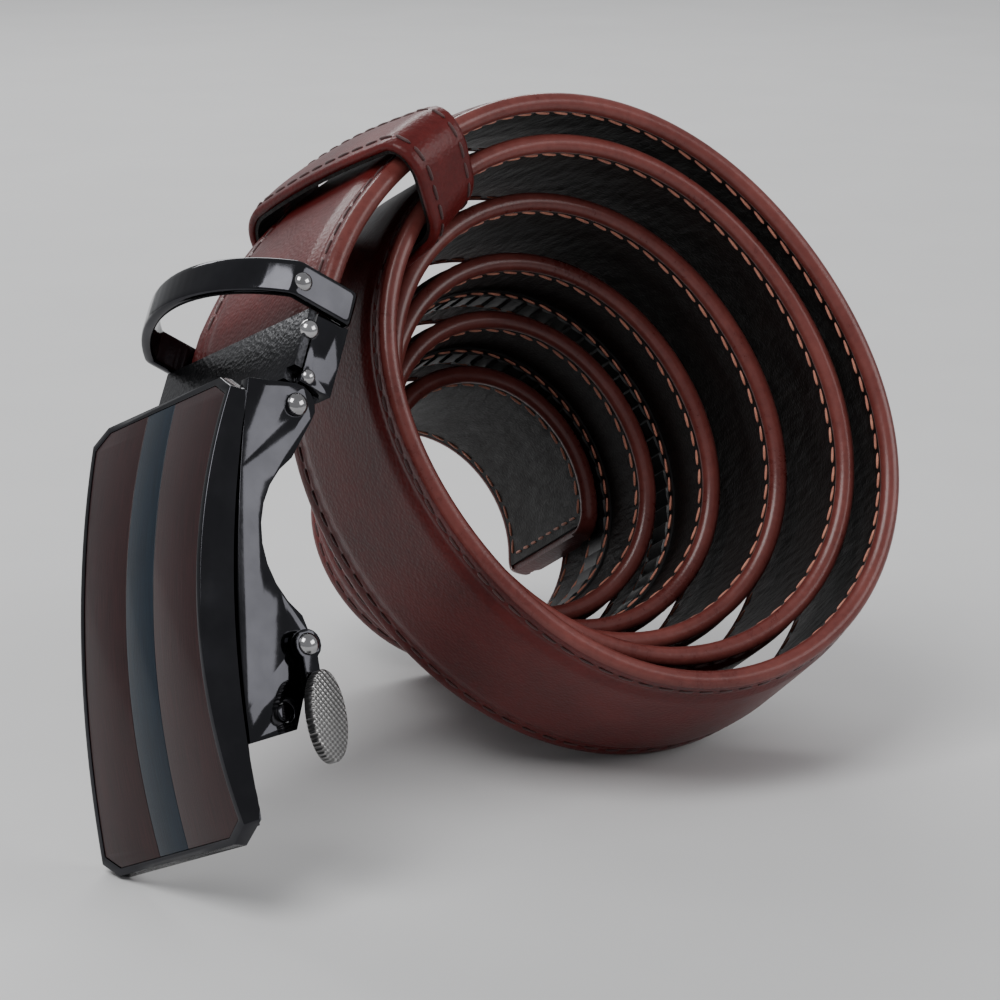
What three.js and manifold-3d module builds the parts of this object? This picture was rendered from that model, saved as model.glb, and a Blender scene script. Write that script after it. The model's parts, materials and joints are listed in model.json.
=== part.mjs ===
// Gentleman's leather dress belt with a ratchet buckle, rolled up with its tip inside and stood on edge.
// The coil is telescoped into a cone that lies on its side, and the buckle hangs down as a third foot.
// Millimetres, +Z up. The mouth of the coil faces -Y, and the buckle hangs at the -X side.
// The origin is on the surface that the belt stands on, under the middle of its box.
//
// Coil frame: x to the right, y along the coil's axis from its mouth to its back, z up. The coil group
// leans back by the cone's own angle. Angles run from +x towards +z, from the tip out to the buckle.
// Buckle frame: x across the buckle to its front edge, y along it to the hinge, z out of its face.
// Clamp frame: the buckle frame's x, with the origin on the hinge pin and y along the strap.

import * as THREE from "three";
import { mergeVertices } from "three/addons/utils/BufferGeometryUtils.js";
import Module from "manifold-3d";

const wasm = await Module();
wasm.setup();

// ---- Driving dimensions ----------------------------------------------------------------------------

const gap = 0.3; // between pieces that meet
const film = 0.15; // between layers that are glued together

const strap = {
  width: 35,
  thickness: 3, // at the stitched margins
  crown: 0.5, // how far the padded middle stands above the margins
  margin: 4.2, // from the edge to the foot of the crown
  crownRamp: 3.8, // across the slope of the crown
  leather: 1.3, // outer leather
  lining: 0.8,
  turnedEdge: 1.5, // outer leather folded over the edge
  bevel: 0.5, // rounding of the outer edges
};

const coil = {
  tipRadius: 18.7, // to the middle of the strap
  turnRoom: 1.44, // between the crown of one turn and the lining of the next one out
  trackLap: 7.4, // how far the track reaches back over the turn inside it
  telescopedTurns: 4.28, // turns from the tip that are telescoped, the rest lie level
  telescopeBlend: 0.4, // turns over which the step fades out
  tipAngle: -24,
  endAngle: 1944, // where the strap leaves the coil for the buckle
  stationStep: 15, // degrees between cross-sections
  tipFlare: 0.7, // the tip springs outwards by this much
  tipFlareAngle: 70, // degrees over which the tip settles into the coil
  ovalStart: 0.8, // the coil sags into an oval: its growth of radius at the tip, and for each turn
  ovalPerTurn: 0.68,
  ovalAngle: 118, // direction of the oval's long axis
  rimFlare: 9, // degrees that the strap's back edge leans out at the coil's end
  advance: 3, // the last part turn moves forward to reach the buckle
  advanceStart: 5, // turn at which it starts
};

const track = {
  width: 9,
  height: 0.65, // above the lining
  toothHeight: 0.35,
  pitch: 6.35,
  startTurn: 0.66,
  endTurn: 2.35,
};

const keeper = {
  width: 13, // along the strap
  leather: 1.2,
  lining: 0.6,
  endRoom: 2.6, // past the straps' edges, at each end
  innerRoom: 0.8, // under the inner strap
  outerRoom: 2.6, // over the outer strap
  cornerRadius: 2.4,
  fromEnd: 13, // degrees back from the coil's end
};

const face = {
  length: 67,
  width: 39,
  baseRise: 2.9, // of the curved underside, from its ends to its middle
  endThickness: 2,
  middleThickness: 4.2,
  cornerAcross: 4.4, // cut corners
  cornerAlong: 2.8,
  sideLand: 0.8, // upright part of the sides, below the long bevels
  bevelAngle: 30, // of the long bevels, from upright
  rim: 1.0,
  inlay: 0.8,
  stripe: 7.2,
};

const base = {
  plate: 1.2,
  earThickness: 1.8,
  earOuter: 19, // from the middle of the buckle to an ear's outer face
  hingeFromEnd: 3.6, // hinge pin, from the hinge end of the face
  hingeDrop: 8.4, // hinge pin, below the ends of the face
  hingeLobe: 3.2,
  shaftFromHinge: 35.4, // pawl shaft
  shaftDrop: 7.7,
  shaftLobe: 2.6,
  barFromHinge: 45.1, // guide bar
  barDrop: 4.6,
  earEndFromHinge: 50,
  reliefRadius: 13.8,
};

const pin = { hinge: 1.2, bar: 1.3, shaft: 1.1, jaw: 0.8, running: 0.1 };

const clamp = {
  length: 11.4, // from the seam with the ears to the tail loop
  seam: 3.6, // from the hinge pin to that seam
  strapDrop: 1.5, // the strap's middle, below the hinge pin
  plate: 1.7, // inner plate
  wall: 1.3,
  barrel: 2.6,
  jaw: 1.3, // outer plate
  jawShoulder: 2, // from the seam to the plate's full width
  knuckle: 1.5,
  jawPinAlong: 4.9,
  jawPinDrop: 0.6,
  strapStop: 7.1, // from the hinge pin to the strap's end
  screwHead: 1.8,
  screwHeight: 0.6,
  screwSunk: 0.2, // below the back of the plate
  screwAcross: 10,
  screwAlong: 10,
};

const loop = {
  length: 5.6, // along the strap
  wall: 1.8,
  legHeight: 6, // of the outer corners, above the hinge pin
  archRise: 8,
};

const pawl = { width: 12, hub: 2.2, reach: 6, tooth: 1.5, thickness: 1.6, spring: 5, springWire: 0.9 };

const lever = {
  arm: 1.3,
  armWidth: 2.6,
  tab: 2.4,
  tabHalfLength: 6.6,
  tabHalfWidth: 2.9,
  tabAlong: -10.5, // tab's middle from the shaft, along the buckle
  tabDrop: 1.5, // and below the shaft
  tabLean: 8,
};

const pose = {
  hangLean: 8.9, // degrees off upright of the hanging end, in the coil's plane
  hangTwist: 15.4, // degrees about its own length
  clampFold: 19, // from there back to the clamp, about the hinge pin
  pinHeight: 59.8, // hinge pin, above the table
  loopX: -57, // outer end of the tail loop, from the coil's axis
  loopY: 7.6, // and behind the mouth of the coil
  bendAngle: 33, // degrees before the coil's end where the strap starts to bend to the clamp
  bendHandle: 14, // stiffness of that bend
  bendStations: 6,
};

const coarse = 6; // segments of a small arc
const round = 16; // sides of a pin

const degrees = THREE.MathUtils.degToRad;

// ---- Materials -------------------------------------------------------------------------------------

const finish = (color, roughness, metalness) => new THREE.MeshStandardMaterial({ color, roughness, metalness });

const oxbloodLeather = finish("#5a1f20", 0.45, 0);
const blackLining = finish("#191413", 0.8, 0);
const filler = finish("#4a3b30", 0.9, 0);
const blackPlastic = finish("#0c0c0d", 0.35, 0);
const gunmetal = finish("#26262a", 0.15, 1);
const satinGunmetal = finish("#222326", 0.45, 1);
const steel = finish("#8c8c90", 0.3, 1);
const maroonEnamel = finish("#2a1416", 0.12, 0);
const navyEnamel = finish("#0d1724", 0.12, 0);

// ---- Solids ----------------------------------------------------------------------------------------

const solidOf = (geometry) => {
  const bare = geometry.clone();
  bare.deleteAttribute("normal");
  bare.deleteAttribute("uv");
  const merged = mergeVertices(bare);
  return new wasm.Manifold(
    new wasm.Mesh({
      numProp: 3,
      vertProperties: merged.attributes.position.array,
      triVerts: new Uint32Array(merged.index.array),
    }),
  );
};

const geometryOf = (solid) => {
  const { numProp, vertProperties, triVerts } = solid.getMesh();
  const positions = new Float32Array((vertProperties.length / numProp) * 3);
  for (let i = 0; i < positions.length / 3; i++) {
    positions.set(vertProperties.subarray(i * numProp, i * numProp + 3), i * 3);
  }
  const geometry = new THREE.BufferGeometry();
  geometry.setAttribute("position", new THREE.BufferAttribute(positions, 3));
  geometry.setIndex(new THREE.BufferAttribute(triVerts, 1));
  const flat = geometry.toNonIndexed();
  flat.computeVertexNormals();
  return flat;
};

const joined = (...geometries) => geometryOf(geometries.map(solidOf).reduce((all, one) => all.add(one)));
const common = (...geometries) => geometryOf(geometries.map(solidOf).reduce((all, one) => all.intersect(one)));
const cut = (body, ...tools) => geometryOf(tools.map(solidOf).reduce((all, one) => all.subtract(one), solidOf(body)));

// Each prism has its outline in the other two axes, in their order, and runs between two values of its own.
const axes = {
  x: [new THREE.Vector3(0, 1, 0), new THREE.Vector3(0, 0, 1), new THREE.Vector3(1, 0, 0)],
  y: [new THREE.Vector3(1, 0, 0), new THREE.Vector3(0, 0, 1), new THREE.Vector3(0, -1, 0)],
  z: [new THREE.Vector3(1, 0, 0), new THREE.Vector3(0, 1, 0), new THREE.Vector3(0, 0, 1)],
};

const prism = (shape, axis, low, high, curveSegments = coarse) => {
  const options = { depth: high - low, bevelEnabled: false, curveSegments };
  const geometry = new THREE.ExtrudeGeometry(shape, options);
  const [first, second, along] = axes[axis];
  geometry.applyMatrix4(new THREE.Matrix4().makeBasis(first, second, along));
  const start = axis === "y" ? high : low;
  const shift = new THREE.Vector3(axis === "x" ? start : 0, axis === "y" ? start : 0, axis === "z" ? start : 0);
  return geometry.translate(shift.x, shift.y, shift.z);
};

const outline = (points) => new THREE.Shape(points.map(([a, b]) => new THREE.Vector2(a, b)));

const circle = (a, b, radius, sides = round) => {
  const corners = Array.from({ length: sides }, (_, i) => (i / sides) * Math.PI * 2);
  return outline(corners.map((turn) => [a + radius * Math.cos(turn), b + radius * Math.sin(turn)]));
};

const rectangle = (a0, a1, b0, b1) => {
  const corners = [
    [a0, b0],
    [a1, b0],
    [a1, b1],
    [a0, b1],
  ];
  return outline(corners);
};

const box = (x0, x1, y0, y1, z0, z1) => prism(rectangle(x0, x1, y0, y1), "z", z0, z1);
const rod = (y, z, radius, x0, x1) => prism(circle(y, z, radius), "x", x0, x1);

// ---- The strap's path ------------------------------------------------------------------------------
// A station is a point on the front edge at mid thickness, the direction to the back edge, and the
// direction out of the outer face.

// The radius grows by the strap and the room over it, and each turn is pulled back until its track lies
// mostly behind the turn inside it.
const turnPitch = strap.thickness + strap.crown + coil.turnRoom;
const telescopeStep = (strap.width + track.width) / 2 - coil.trackLap;

const coilRadius = (angle) => {
  const turn = angle / 360;
  const oval = (coil.ovalStart + coil.ovalPerTurn * turn) * Math.cos(2 * degrees(angle - coil.ovalAngle));
  const flare = coil.tipFlare * Math.exp((coil.tipAngle - angle) / coil.tipFlareAngle);
  return coil.tipRadius + turnPitch * turn + oval + flare;
};

const endTurn = coil.endAngle / 360;

const coilSetBack = (angle) => {
  const turn = angle / 360;
  const left = coil.telescopedTurns - turn;
  const telescoped = (telescopeStep * (left + Math.hypot(left, coil.telescopeBlend))) / 2;
  const advanced = Math.max(0, (turn - coil.advanceStart) / (endTurn - coil.advanceStart));
  return telescoped - coil.advance * advanced ** 2;
};

const coilLean = (angle) => degrees(coil.rimFlare) * Math.max(0, angle / coil.endAngle) ** 2;

const coilStation = (angle) => {
  const turn = degrees(angle);
  const outward = new THREE.Vector3(Math.cos(turn), 0, Math.sin(turn));
  const backward = new THREE.Vector3(0, 1, 0);
  const lean = coilLean(angle);
  const point = outward.clone().multiplyScalar(coilRadius(angle));
  point.y = coilSetBack(angle);
  return {
    point,
    back: backward.clone().multiplyScalar(Math.cos(lean)).addScaledVector(outward, Math.sin(lean)),
    out: outward.clone().multiplyScalar(Math.cos(lean)).addScaledVector(backward, -Math.sin(lean)),
  };
};

// The cone touches the table along the back rims at its foot, so its lean follows from two of them.
const footAngle = 276;
const rimAt = (angle) => {
  const station = coilStation(angle);
  const rim = station.point.clone().addScaledVector(station.back, strap.width);
  return rim.addScaledVector(station.out, strap.thickness / 2);
};
const innerRim = rimAt(footAngle);
const outerRim = rimAt(footAngle + 4 * 360);
const leanBack = Math.atan2(innerRim.z - outerRim.z, innerRim.y - outerRim.y);
const heightOf = (point) => point.z * Math.cos(leanBack) - point.y * Math.sin(leanBack);

// ---- Placing the buckle and the clamp --------------------------------------------------------------

const half = face.length / 2;
const hingeY = half - base.hingeFromEnd;
const hingeZ = -base.hingeDrop;

const lean = degrees(pose.hangLean);
const twist = degrees(pose.hangTwist);
const hangAcross = new THREE.Vector3(
  Math.cos(lean) * Math.sin(twist),
  -Math.cos(twist),
  -Math.sin(lean) * Math.sin(twist),
);
const hangAlong = new THREE.Vector3(Math.sin(lean), 0, Math.cos(lean));
const hangOut = new THREE.Vector3().crossVectors(hangAcross, hangAlong);
const hangTurn = new THREE.Matrix4().makeBasis(hangAcross, hangAlong, hangOut);

// The buckle swings on its hinge pin until the far bottom corner of its face stands on the table.
const foot = new THREE.Vector3(-(face.width / 2 - face.cornerAcross), -half - hingeY, -hingeZ);
const upright = foot.y * heightOf(hangAlong) + foot.z * heightOf(hangOut);
const level = foot.y * heightOf(hangOut) - foot.z * heightOf(hangAlong);
const drop = -pose.pinHeight - foot.x * heightOf(hangAcross);
const swing = Math.atan2(level, upright) + Math.acos(drop / Math.hypot(upright, level));
const buckleTurn = hangTurn.clone().multiply(new THREE.Matrix4().makeRotationX(swing));

const clampEnd = clamp.seam + clamp.length;
const loopEnd = clampEnd + gap + loop.length;
const clampTurn = hangTurn.clone().multiply(new THREE.Matrix4().makeRotationX(-degrees(pose.clampFold)));
const loopFromPin = new THREE.Vector3(0, loopEnd, 0).applyMatrix4(clampTurn);
const pinY = pose.loopY - loopFromPin.y;
const pinZ = (heightOf(outerRim) + pose.pinHeight + pinY * Math.sin(leanBack)) / Math.cos(leanBack);
const pinPoint = new THREE.Vector3(pose.loopX - loopFromPin.x, pinY, pinZ);

const clampPlace = new THREE.Matrix4().makeTranslation(pinPoint).multiply(clampTurn);
const bucklePlace = new THREE.Matrix4()
  .makeTranslation(pinPoint)
  .multiply(buckleTurn)
  .multiply(new THREE.Matrix4().makeTranslation(0, -hingeY, -hingeZ));


const clampStation = (along) => {
  const point = new THREE.Vector3(strap.width / 2, along, -clamp.strapDrop).applyMatrix4(clampPlace);
  const back = new THREE.Vector3(-1, 0, 0).transformDirection(clampPlace);
  const out = new THREE.Vector3(0, 0, 1).transformDirection(clampPlace);
  return { point, back, out };
};

// Between the coil and the clamp the strap bends along a cubic curve and twists evenly.
const bendStart = coil.endAngle - pose.bendAngle;

const bendStation = (share) => {
  const start = coilStation(bendStart);
  const end = clampStation(loopEnd + 1);
  const leaving = start.point.clone().sub(coilStation(bendStart - 1).point).normalize();
  const arriving = new THREE.Vector3(0, 1, 0).transformDirection(clampPlace);
  const curve = new THREE.CubicBezierCurve3(
    start.point,
    start.point.clone().addScaledVector(leaving, pose.bendHandle),
    end.point.clone().addScaledVector(arriving, pose.bendHandle),
    end.point,
  );
  const tangent = curve.getTangent(share);
  const back = start.back.clone().lerp(end.back, share);
  back.addScaledVector(tangent, -back.dot(tangent)).normalize();
  return { point: curve.getPoint(share), back, out: new THREE.Vector3().crossVectors(back, tangent) };
};

const bendShares = Array.from({ length: pose.bendStations + 1 }, (_, i) => (i + 1) / (pose.bendStations + 1));

const coilStations = (from, to) => {
  const count = Math.max(1, Math.round((to - from) / coil.stationStep));
  return Array.from({ length: count + 1 }, (_, i) => coilStation(from + ((to - from) * i) / count));
};

const strapStations = [
  ...coilStations(coil.tipAngle, bendStart),
  ...bendShares.map(bendStation),
  clampStation(clamp.strapStop),
];

// A ribbon sweeps a section through stations. The section's first value runs from the front edge to the
// back edge and its second one outwards, and it may be a function of the station's index.
const ribbon = (sectionAt, stations) => {
  const positions = [];
  const indices = [];
  const sections = stations.map((_, i) => sectionAt(i));
  const size = sections[0].length;
  stations.forEach(({ point, back, out }, i) => {
    for (const [across, above] of sections[i]) {
      const corner = point.clone().addScaledVector(back, across).addScaledVector(out, above);
      positions.push(corner.x, corner.y, corner.z);
    }
  });
  for (let i = 0; i + 1 < stations.length; i++) {
    for (let j = 0; j < size; j++) {
      const next = (j + 1) % size;
      const [a, b, c, d] = [i * size + j, i * size + next, (i + 1) * size + next, (i + 1) * size + j];
      // Facing layers fold along the same diagonal, so the film between them is even.
      if (sections[i][next][0] > sections[i][j][0]) indices.push(a, c, b, a, d, c);
      else indices.push(a, d, b, b, d, c);
    }
  }
  const cap = (i, flip) => {
    const points = sections[i].map(([a, b]) => new THREE.Vector2(a, b));
    for (const [a, b, c] of THREE.ShapeUtils.triangulateShape(points, [])) {
      const start = i * size;
      indices.push(start + a, start + (flip ? c : b), start + (flip ? b : c));
    }
  };
  cap(0, false);
  cap(stations.length - 1, true);
  const geometry = new THREE.BufferGeometry();
  geometry.setAttribute("position", new THREE.Float32BufferAttribute(positions, 3));
  geometry.setIndex(indices);
  geometry.computeVertexNormals();
  return geometry;
};

const band = (across0, across1, below, above) => [
  [across0, below],
  [across1, below],
  [across1, above],
  [across0, above],
];

// ---- Strap -----------------------------------------------------------------------------------------

const outerFace = strap.thickness / 2;
const innerFace = -strap.thickness / 2;
const leatherInside = outerFace - strap.leather;
const liningOutside = innerFace + film + strap.lining;

const upperSection = () => {
  const mirror = ([across, above]) => [strap.width - across, above];
  const front = [
    [strap.turnedEdge, leatherInside],
    [strap.turnedEdge, innerFace],
    [0, innerFace],
    [0, outerFace - strap.bevel],
    [strap.bevel, outerFace],
    [strap.margin, outerFace],
    [strap.margin + strap.crownRamp, outerFace + strap.crown],
  ];
  return [...front, ...front.toReversed().map(mirror)].toReversed();
};

const inset = strap.turnedEdge + film;
const fillerSection = () => band(inset, strap.width - inset, liningOutside + film, leatherInside - film);
const liningSection = () => band(inset, strap.width - inset, innerFace + film, liningOutside);

// A point along the straight chord between two of the strap's own cross-sections.
const chordStation = (angle) => {
  const steps = (angle - coil.tipAngle) / coil.stationStep;
  const start = coilStation(coil.tipAngle + Math.floor(steps) * coil.stationStep);
  const end = coilStation(coil.tipAngle + (Math.floor(steps) + 1) * coil.stationStep);
  const share = steps - Math.floor(steps);
  return {
    point: start.point.lerp(end.point, share),
    back: start.back.lerp(end.back, share),
    out: start.out.lerp(end.out, share),
  };
};

const trackGeometry = () => {
  const start = track.startTurn * 360;
  const turned = (track.endTurn - track.startTurn) * 360;
  const length = degrees(turned) * coilRadius(start + turned / 2);
  const step = turned / Math.round(length / track.pitch);
  const rise = step * 0.9;
  const angles = [];
  for (let angle = start; angle < start + turned - step / 2; angle += step) angles.push(angle, angle + rise);
  const first = Math.ceil((start - coil.tipAngle) / coil.stationStep);
  for (let i = first; coil.tipAngle + i * coil.stationStep < start + turned; i++) {
    angles.push(coil.tipAngle + i * coil.stationStep);
  }
  angles.sort((one, other) => one - other);
  const low = (strap.width - track.width) / 2;
  const root = innerFace - track.height + track.toothHeight;
  const sectionAt = (i) => {
    const into = (angles[i] - start + step / 1e6) % step;
    const depth = root - track.toothHeight * Math.min(1, into / rise);
    return band(low, low + track.width, depth, innerFace);
  };
  return ribbon(sectionAt, angles.map(chordStation));
};

const addStrap = (parent) => {
  piece(parent, "strap_upper", ribbon(upperSection, strapStations), oxbloodLeather);
  piece(parent, "strap_filler", ribbon(fillerSection, strapStations), filler);
  piece(parent, "strap_lining", ribbon(liningSection, strapStations), blackLining);
  piece(parent, "ratchet_track", trackGeometry(), blackPlastic);
};

// ---- Leather keeper --------------------------------------------------------------------------------
// It holds the last turn and the turn under it, and it is swept along both.

const keeperAngle = coil.endAngle - keeper.fromEnd;
const keeperSpread = THREE.MathUtils.radToDeg(keeper.width / coilRadius(keeperAngle));

// Share of the bend at an angle: its chord is taken as an arc of the coil's radius there.
const bendChord = coilStation(bendStart).point.distanceTo(clampStation(loopEnd + 1).point);
const bendTurn = THREE.MathUtils.radToDeg(bendChord / coilRadius(bendStart));

// Rounded outline through the four inner corners, grown outwards: a section for a ribbon.
const keeperSection = (angle, grown) => {
  const outer = bendStation((angle - bendStart) / bendTurn);
  const frame = { point: outer.point.clone(), back: outer.back.clone(), out: outer.out.clone() };
  const along = new THREE.Vector3().crossVectors(outer.out, outer.back);
  const fromFrame = ({ point, back, out }, across, above) => {
    return point.clone().addScaledVector(back, across).addScaledVector(out, above).sub(frame.point);
  };
  const flat = (at) => new THREE.Vector2(at.dot(frame.back), at.dot(frame.out));
  const under = innerFace - keeper.innerRoom;
  const over = outerFace + strap.crown + keeper.outerRoom;
  // The outer strap stands square in this plane, and each edge of the inner one is met where it crosses it.
  const innerCorner = (across) => {
    const ahead = fromFrame(chordStation(angle - 360), across, under).dot(along);
    const crossing = angle - 360 - THREE.MathUtils.radToDeg(ahead / coilRadius(angle - 360));
    return flat(fromFrame(chordStation(crossing), across, under));
  };
  const faces = [
    [innerCorner(0), innerCorner(strap.width)],
    [flat(fromFrame(outer, 0, over)), flat(fromFrame(outer, strap.width, over))],
  ];
  const front = Math.min(...faces.map(([start]) => start.x)) - keeper.endRoom;
  const rear = Math.max(...faces.map(([, end]) => end.x)) + keeper.endRoom;
  const on = ([start, end], x) => start.clone().lerp(end, (x - start.x) / (end.x - start.x));
  const corners = [on(faces[0], front), on(faces[0], rear), on(faces[1], rear), on(faces[1], front)];
  const sides = corners.map((from, i) => {
    const to = corners[(i + 1) % 4];
    const along = to.clone().sub(from).normalize();
    const offset = new THREE.Vector2(along.y, -along.x).multiplyScalar(grown);
    return { from: from.clone().add(offset), along };
  });
  const section = [];
  sides.forEach((side, i) => {
    const before = sides[(i + 3) % 4];
    const turn = before.along.cross(side.along);
    const reach = side.from.clone().sub(before.from).cross(side.along) / turn;
    const meet = before.from.clone().addScaledVector(before.along, reach);
    const bend = Math.atan2(turn, before.along.dot(side.along));
    const radius = keeper.cornerRadius + grown;
    const start = meet.clone().addScaledVector(before.along, -radius * Math.tan(bend / 2));
    const left = new THREE.Vector2(-before.along.y, before.along.x);
    const centre = start.clone().addScaledVector(left, radius);
    for (let k = 0; k <= 4; k++) {
      const spoke = start.clone().sub(centre).rotateAround(new THREE.Vector2(), (bend * k) / 4);
      section.push([centre.x + spoke.x, centre.y + spoke.y]);
    }
  });
  return { frame, section };
};

const keeperTube = (grown, longer) => {
  const spread = keeperSpread + longer;
  const angles = [-spread / 2, -spread / 6, spread / 6, spread / 2].map((offset) => keeperAngle + offset);
  const sections = angles.map((angle) => keeperSection(angle, grown));
  return ribbon((i) => sections[i].section, sections.map(({ frame }) => frame));
};

const addKeeper = (parent) => {
  const lined = keeper.lining + film;
  const past = 2; // degrees that each cutting tube runs past the keeper
  piece(parent, "keeper_lining", cut(keeperTube(keeper.lining, 0), keeperTube(0, past)), blackLining);
  piece(parent, "keeper_loop", cut(keeperTube(lined + keeper.leather, 0), keeperTube(lined, past)), oxbloodLeather);
};

// ---- Buckle face -----------------------------------------------------------------------------------

const rise = (y, height) => height * (1 - (y / half) ** 2);
const baseZ = (y) => rise(y, face.baseRise);
const topZ = (y) => face.endThickness + rise(y, face.baseRise + face.middleThickness - face.endThickness);

// Outline along the buckle between two curves of height over its length.
const curvedBand = (lower, upper, y0 = -half, y1 = half, segments = 14) => {
  const ys = Array.from({ length: segments + 1 }, (_, i) => y0 + ((y1 - y0) * i) / segments);
  return outline([...ys.map((y) => [y, lower(y)]), ...ys.toReversed().map((y) => [y, upper(y)])]);
};

const slope = Math.tan(degrees(face.bevelAngle));
const high = 12; // above every point of the buckle's face

const facePlan = (shrink) => {
  const x = face.width / 2 - shrink;
  const y = half - shrink;
  const points = [
    [-x, -y + face.cornerAlong],
    [-x + face.cornerAcross, -y],
    [x - face.cornerAcross, -y],
    [x, -y + face.cornerAlong],
    [x, y - face.cornerAlong],
    [x - face.cornerAcross, y],
    [-x + face.cornerAcross, y],
    [-x, y - face.cornerAlong],
  ];
  return prism(outline(points), "z", -high, high);
};

const faceSides = (shrink) => {
  const wide = face.width / 2 - shrink;
  const narrow = wide - (high - face.sideLand) * slope;
  const points = [
    [-wide, -high],
    [wide, -high],
    [wide, face.sideLand],
    [narrow, high],
    [-narrow, high],
    [-wide, face.sideLand],
  ];
  return prism(outline(points), "y", -half, half);
};

const acrossFace = (lower, upper) => prism(curvedBand(lower, upper), "x", -face.width / 2, face.width / 2);

const addFace = (parent) => {
  const body = common(acrossFace(baseZ, topZ), facePlan(0), faceSides(0));
  const floor = (y) => topZ(y) - face.inlay - film * 2;
  const pocket = common(acrossFace(floor, () => high), facePlan(face.rim), faceSides(face.rim));
  piece(parent, "face_frame", cut(body, pocket), gunmetal);
  const panel = common(
    acrossFace((y) => floor(y) + film, (y) => topZ(y) - film),
    facePlan(face.rim + gap / 2),
    faceSides(face.rim + gap / 2),
  );
  const edge = face.stripe / 2;
  const far = face.width / 2;
  const slice = (x0, x1) => common(panel, box(x0, x1, -half, half, -high, high));
  piece(parent, "inlay_front", slice(edge + gap / 2, far), maroonEnamel);
  piece(parent, "inlay_stripe", slice(-edge, edge), navyEnamel);
  piece(parent, "inlay_back", slice(-far, -edge - gap / 2), maroonEnamel);
};

// ---- Buckle base -----------------------------------------------------------------------------------

const barY = hingeY - base.barFromHinge;
const barZ = -base.barDrop;
const shaftY = hingeY - base.shaftFromHinge;
const shaftZ = -base.shaftDrop;
const earEndY = hingeY - base.earEndFromHinge;
const earInner = base.earOuter - base.earThickness;

const earShape = () => {
  const top = (y) => baseZ(y) - gap;
  const ys = Array.from({ length: 13 }, (_, i) => earEndY + ((half - 0.7 - earEndY) * i) / 12);
  const arc = (y, z, radius, from, to, count) =>
    Array.from({ length: count + 1 }, (_, i) => {
      const turn = degrees(from + ((to - from) * i) / count);
      return [y + radius * Math.cos(turn), z + radius * Math.sin(turn)];
    });
  // The relief between the two lobes is an arc that leaves a lobe's width of metal at each end.
  const reliefY = (hingeY + shaftY) / 2 - 1.5;
  const reliefZ = hingeZ - base.reliefRadius / 2;
  const shape = outline([
    ...ys.toReversed().map((y) => [y, top(y)]),
    [earEndY + 2.6, barZ - 1.8],
    ...arc(shaftY, shaftZ, base.shaftLobe, 215, 330, 4),
    ...arc(reliefY, reliefZ, base.reliefRadius, 148, 36, 9),
    ...arc(hingeY, hingeZ, base.hingeLobe, 230, 360, 5),
  ]);
  return shape;
};

const addEar = (parent, name, side) => {
  const from = side > 0 ? earInner : -base.earOuter;
  const body = prism(earShape(), "x", from, from + base.earThickness);
  const bore = (y, z, radius) => rod(y, z, radius, from - 1, from + base.earThickness + 1);
  const pierced = cut(
    body,
    bore(hingeY, hingeZ, pin.hinge + film),
    bore(barY, barZ, pin.bar + film),
    bore(shaftY, shaftZ, pin.shaft + pin.running),
  );
  piece(parent, name, pierced, gunmetal);
};

const addBase = (parent) => {
  const underside = (y) => baseZ(y) - gap - base.plate;
  const plate = curvedBand(underside, (y) => baseZ(y) - gap, -half + 2.5, half - 2.5);
  piece(parent, "base_plate", prism(plate, "x", -earInner + gap, earInner - gap), gunmetal);
  addEar(parent, "ear_front", 1);
  addEar(parent, "ear_back", -1);
  const reach = base.earOuter - 0.4;
  piece(parent, "hinge_pin", rod(hingeY, hingeZ, pin.hinge, -reach, reach), steel);
  piece(parent, "guide_bar", rod(barY, barZ, pin.bar, -reach, reach), gunmetal);
  const spring = circle(shaftY, shaftZ, pin.shaft + pin.running + pawl.springWire);
  spring.holes.push(circle(shaftY, shaftZ, pin.shaft + pin.running));
  const start = pawl.width / 2 + gap;
  piece(parent, "pawl_spring", prism(spring, "x", start, start + pawl.spring), steel);
};

// ---- Pawl and release lever ------------------------------------------------------------------------

const addRelease = (parent) => {
  const hub = rod(shaftY, shaftZ, pawl.hub, -pawl.width / 2, pawl.width / 2);
  const tip = shaftY + pawl.reach;
  const finger = outline([
    [shaftY, shaftZ - pawl.hub + 0.6],
    [tip, shaftZ - pawl.thickness / 2],
    [tip, shaftZ + pawl.thickness / 2 + pawl.tooth],
    [tip - 2.2, shaftZ + pawl.thickness / 2],
    [shaftY, shaftZ + pawl.hub - 0.4],
  ]);
  const body = joined(hub, prism(finger, "x", -pawl.width / 2, pawl.width / 2));
  const bore = rod(shaftY, shaftZ, pin.shaft + film, -pawl.width, pawl.width);
  piece(parent, "pawl", cut(body, bore), steel);

  const armStart = base.earOuter + gap;
  const armEnd = armStart + lever.arm;
  piece(parent, "pawl_shaft", rod(shaftY, shaftZ, pin.shaft, -base.earOuter + 0.4, armEnd), steel);

  const tabY = shaftY + lever.tabAlong;
  const tabZ = shaftZ - lever.tabDrop;
  const reach = Math.hypot(lever.tabAlong, lever.tabDrop);
  const turn = Math.atan2(-lever.tabDrop, lever.tabAlong);
  const bar = box(armStart, armEnd, 0, reach, -lever.armWidth / 2, lever.armWidth / 2);
  bar.rotateX(turn).translate(0, shaftY, shaftZ);
  const boss = rod(shaftY, shaftZ, lever.armWidth / 2 + 0.9, armStart, armEnd);
  const arm = cut(joined(boss, bar), rod(shaftY, shaftZ, pin.shaft + film, armStart - 1, armEnd + 1));
  piece(parent, "release_arm", arm, gunmetal);

  const oval = new THREE.Shape();
  oval.absellipse(0, 0, lever.tabHalfLength, lever.tabHalfWidth, 0, Math.PI * 2, false, 0);
  const tabStart = armEnd + gap;
  const tab = prism(oval, "x", tabStart, tabStart + lever.tab, 24);
  tab.rotateX(degrees(lever.tabLean)).translate(0, tabY, tabZ);
  piece(parent, "release_tab", tab, satinGunmetal);
};

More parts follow.
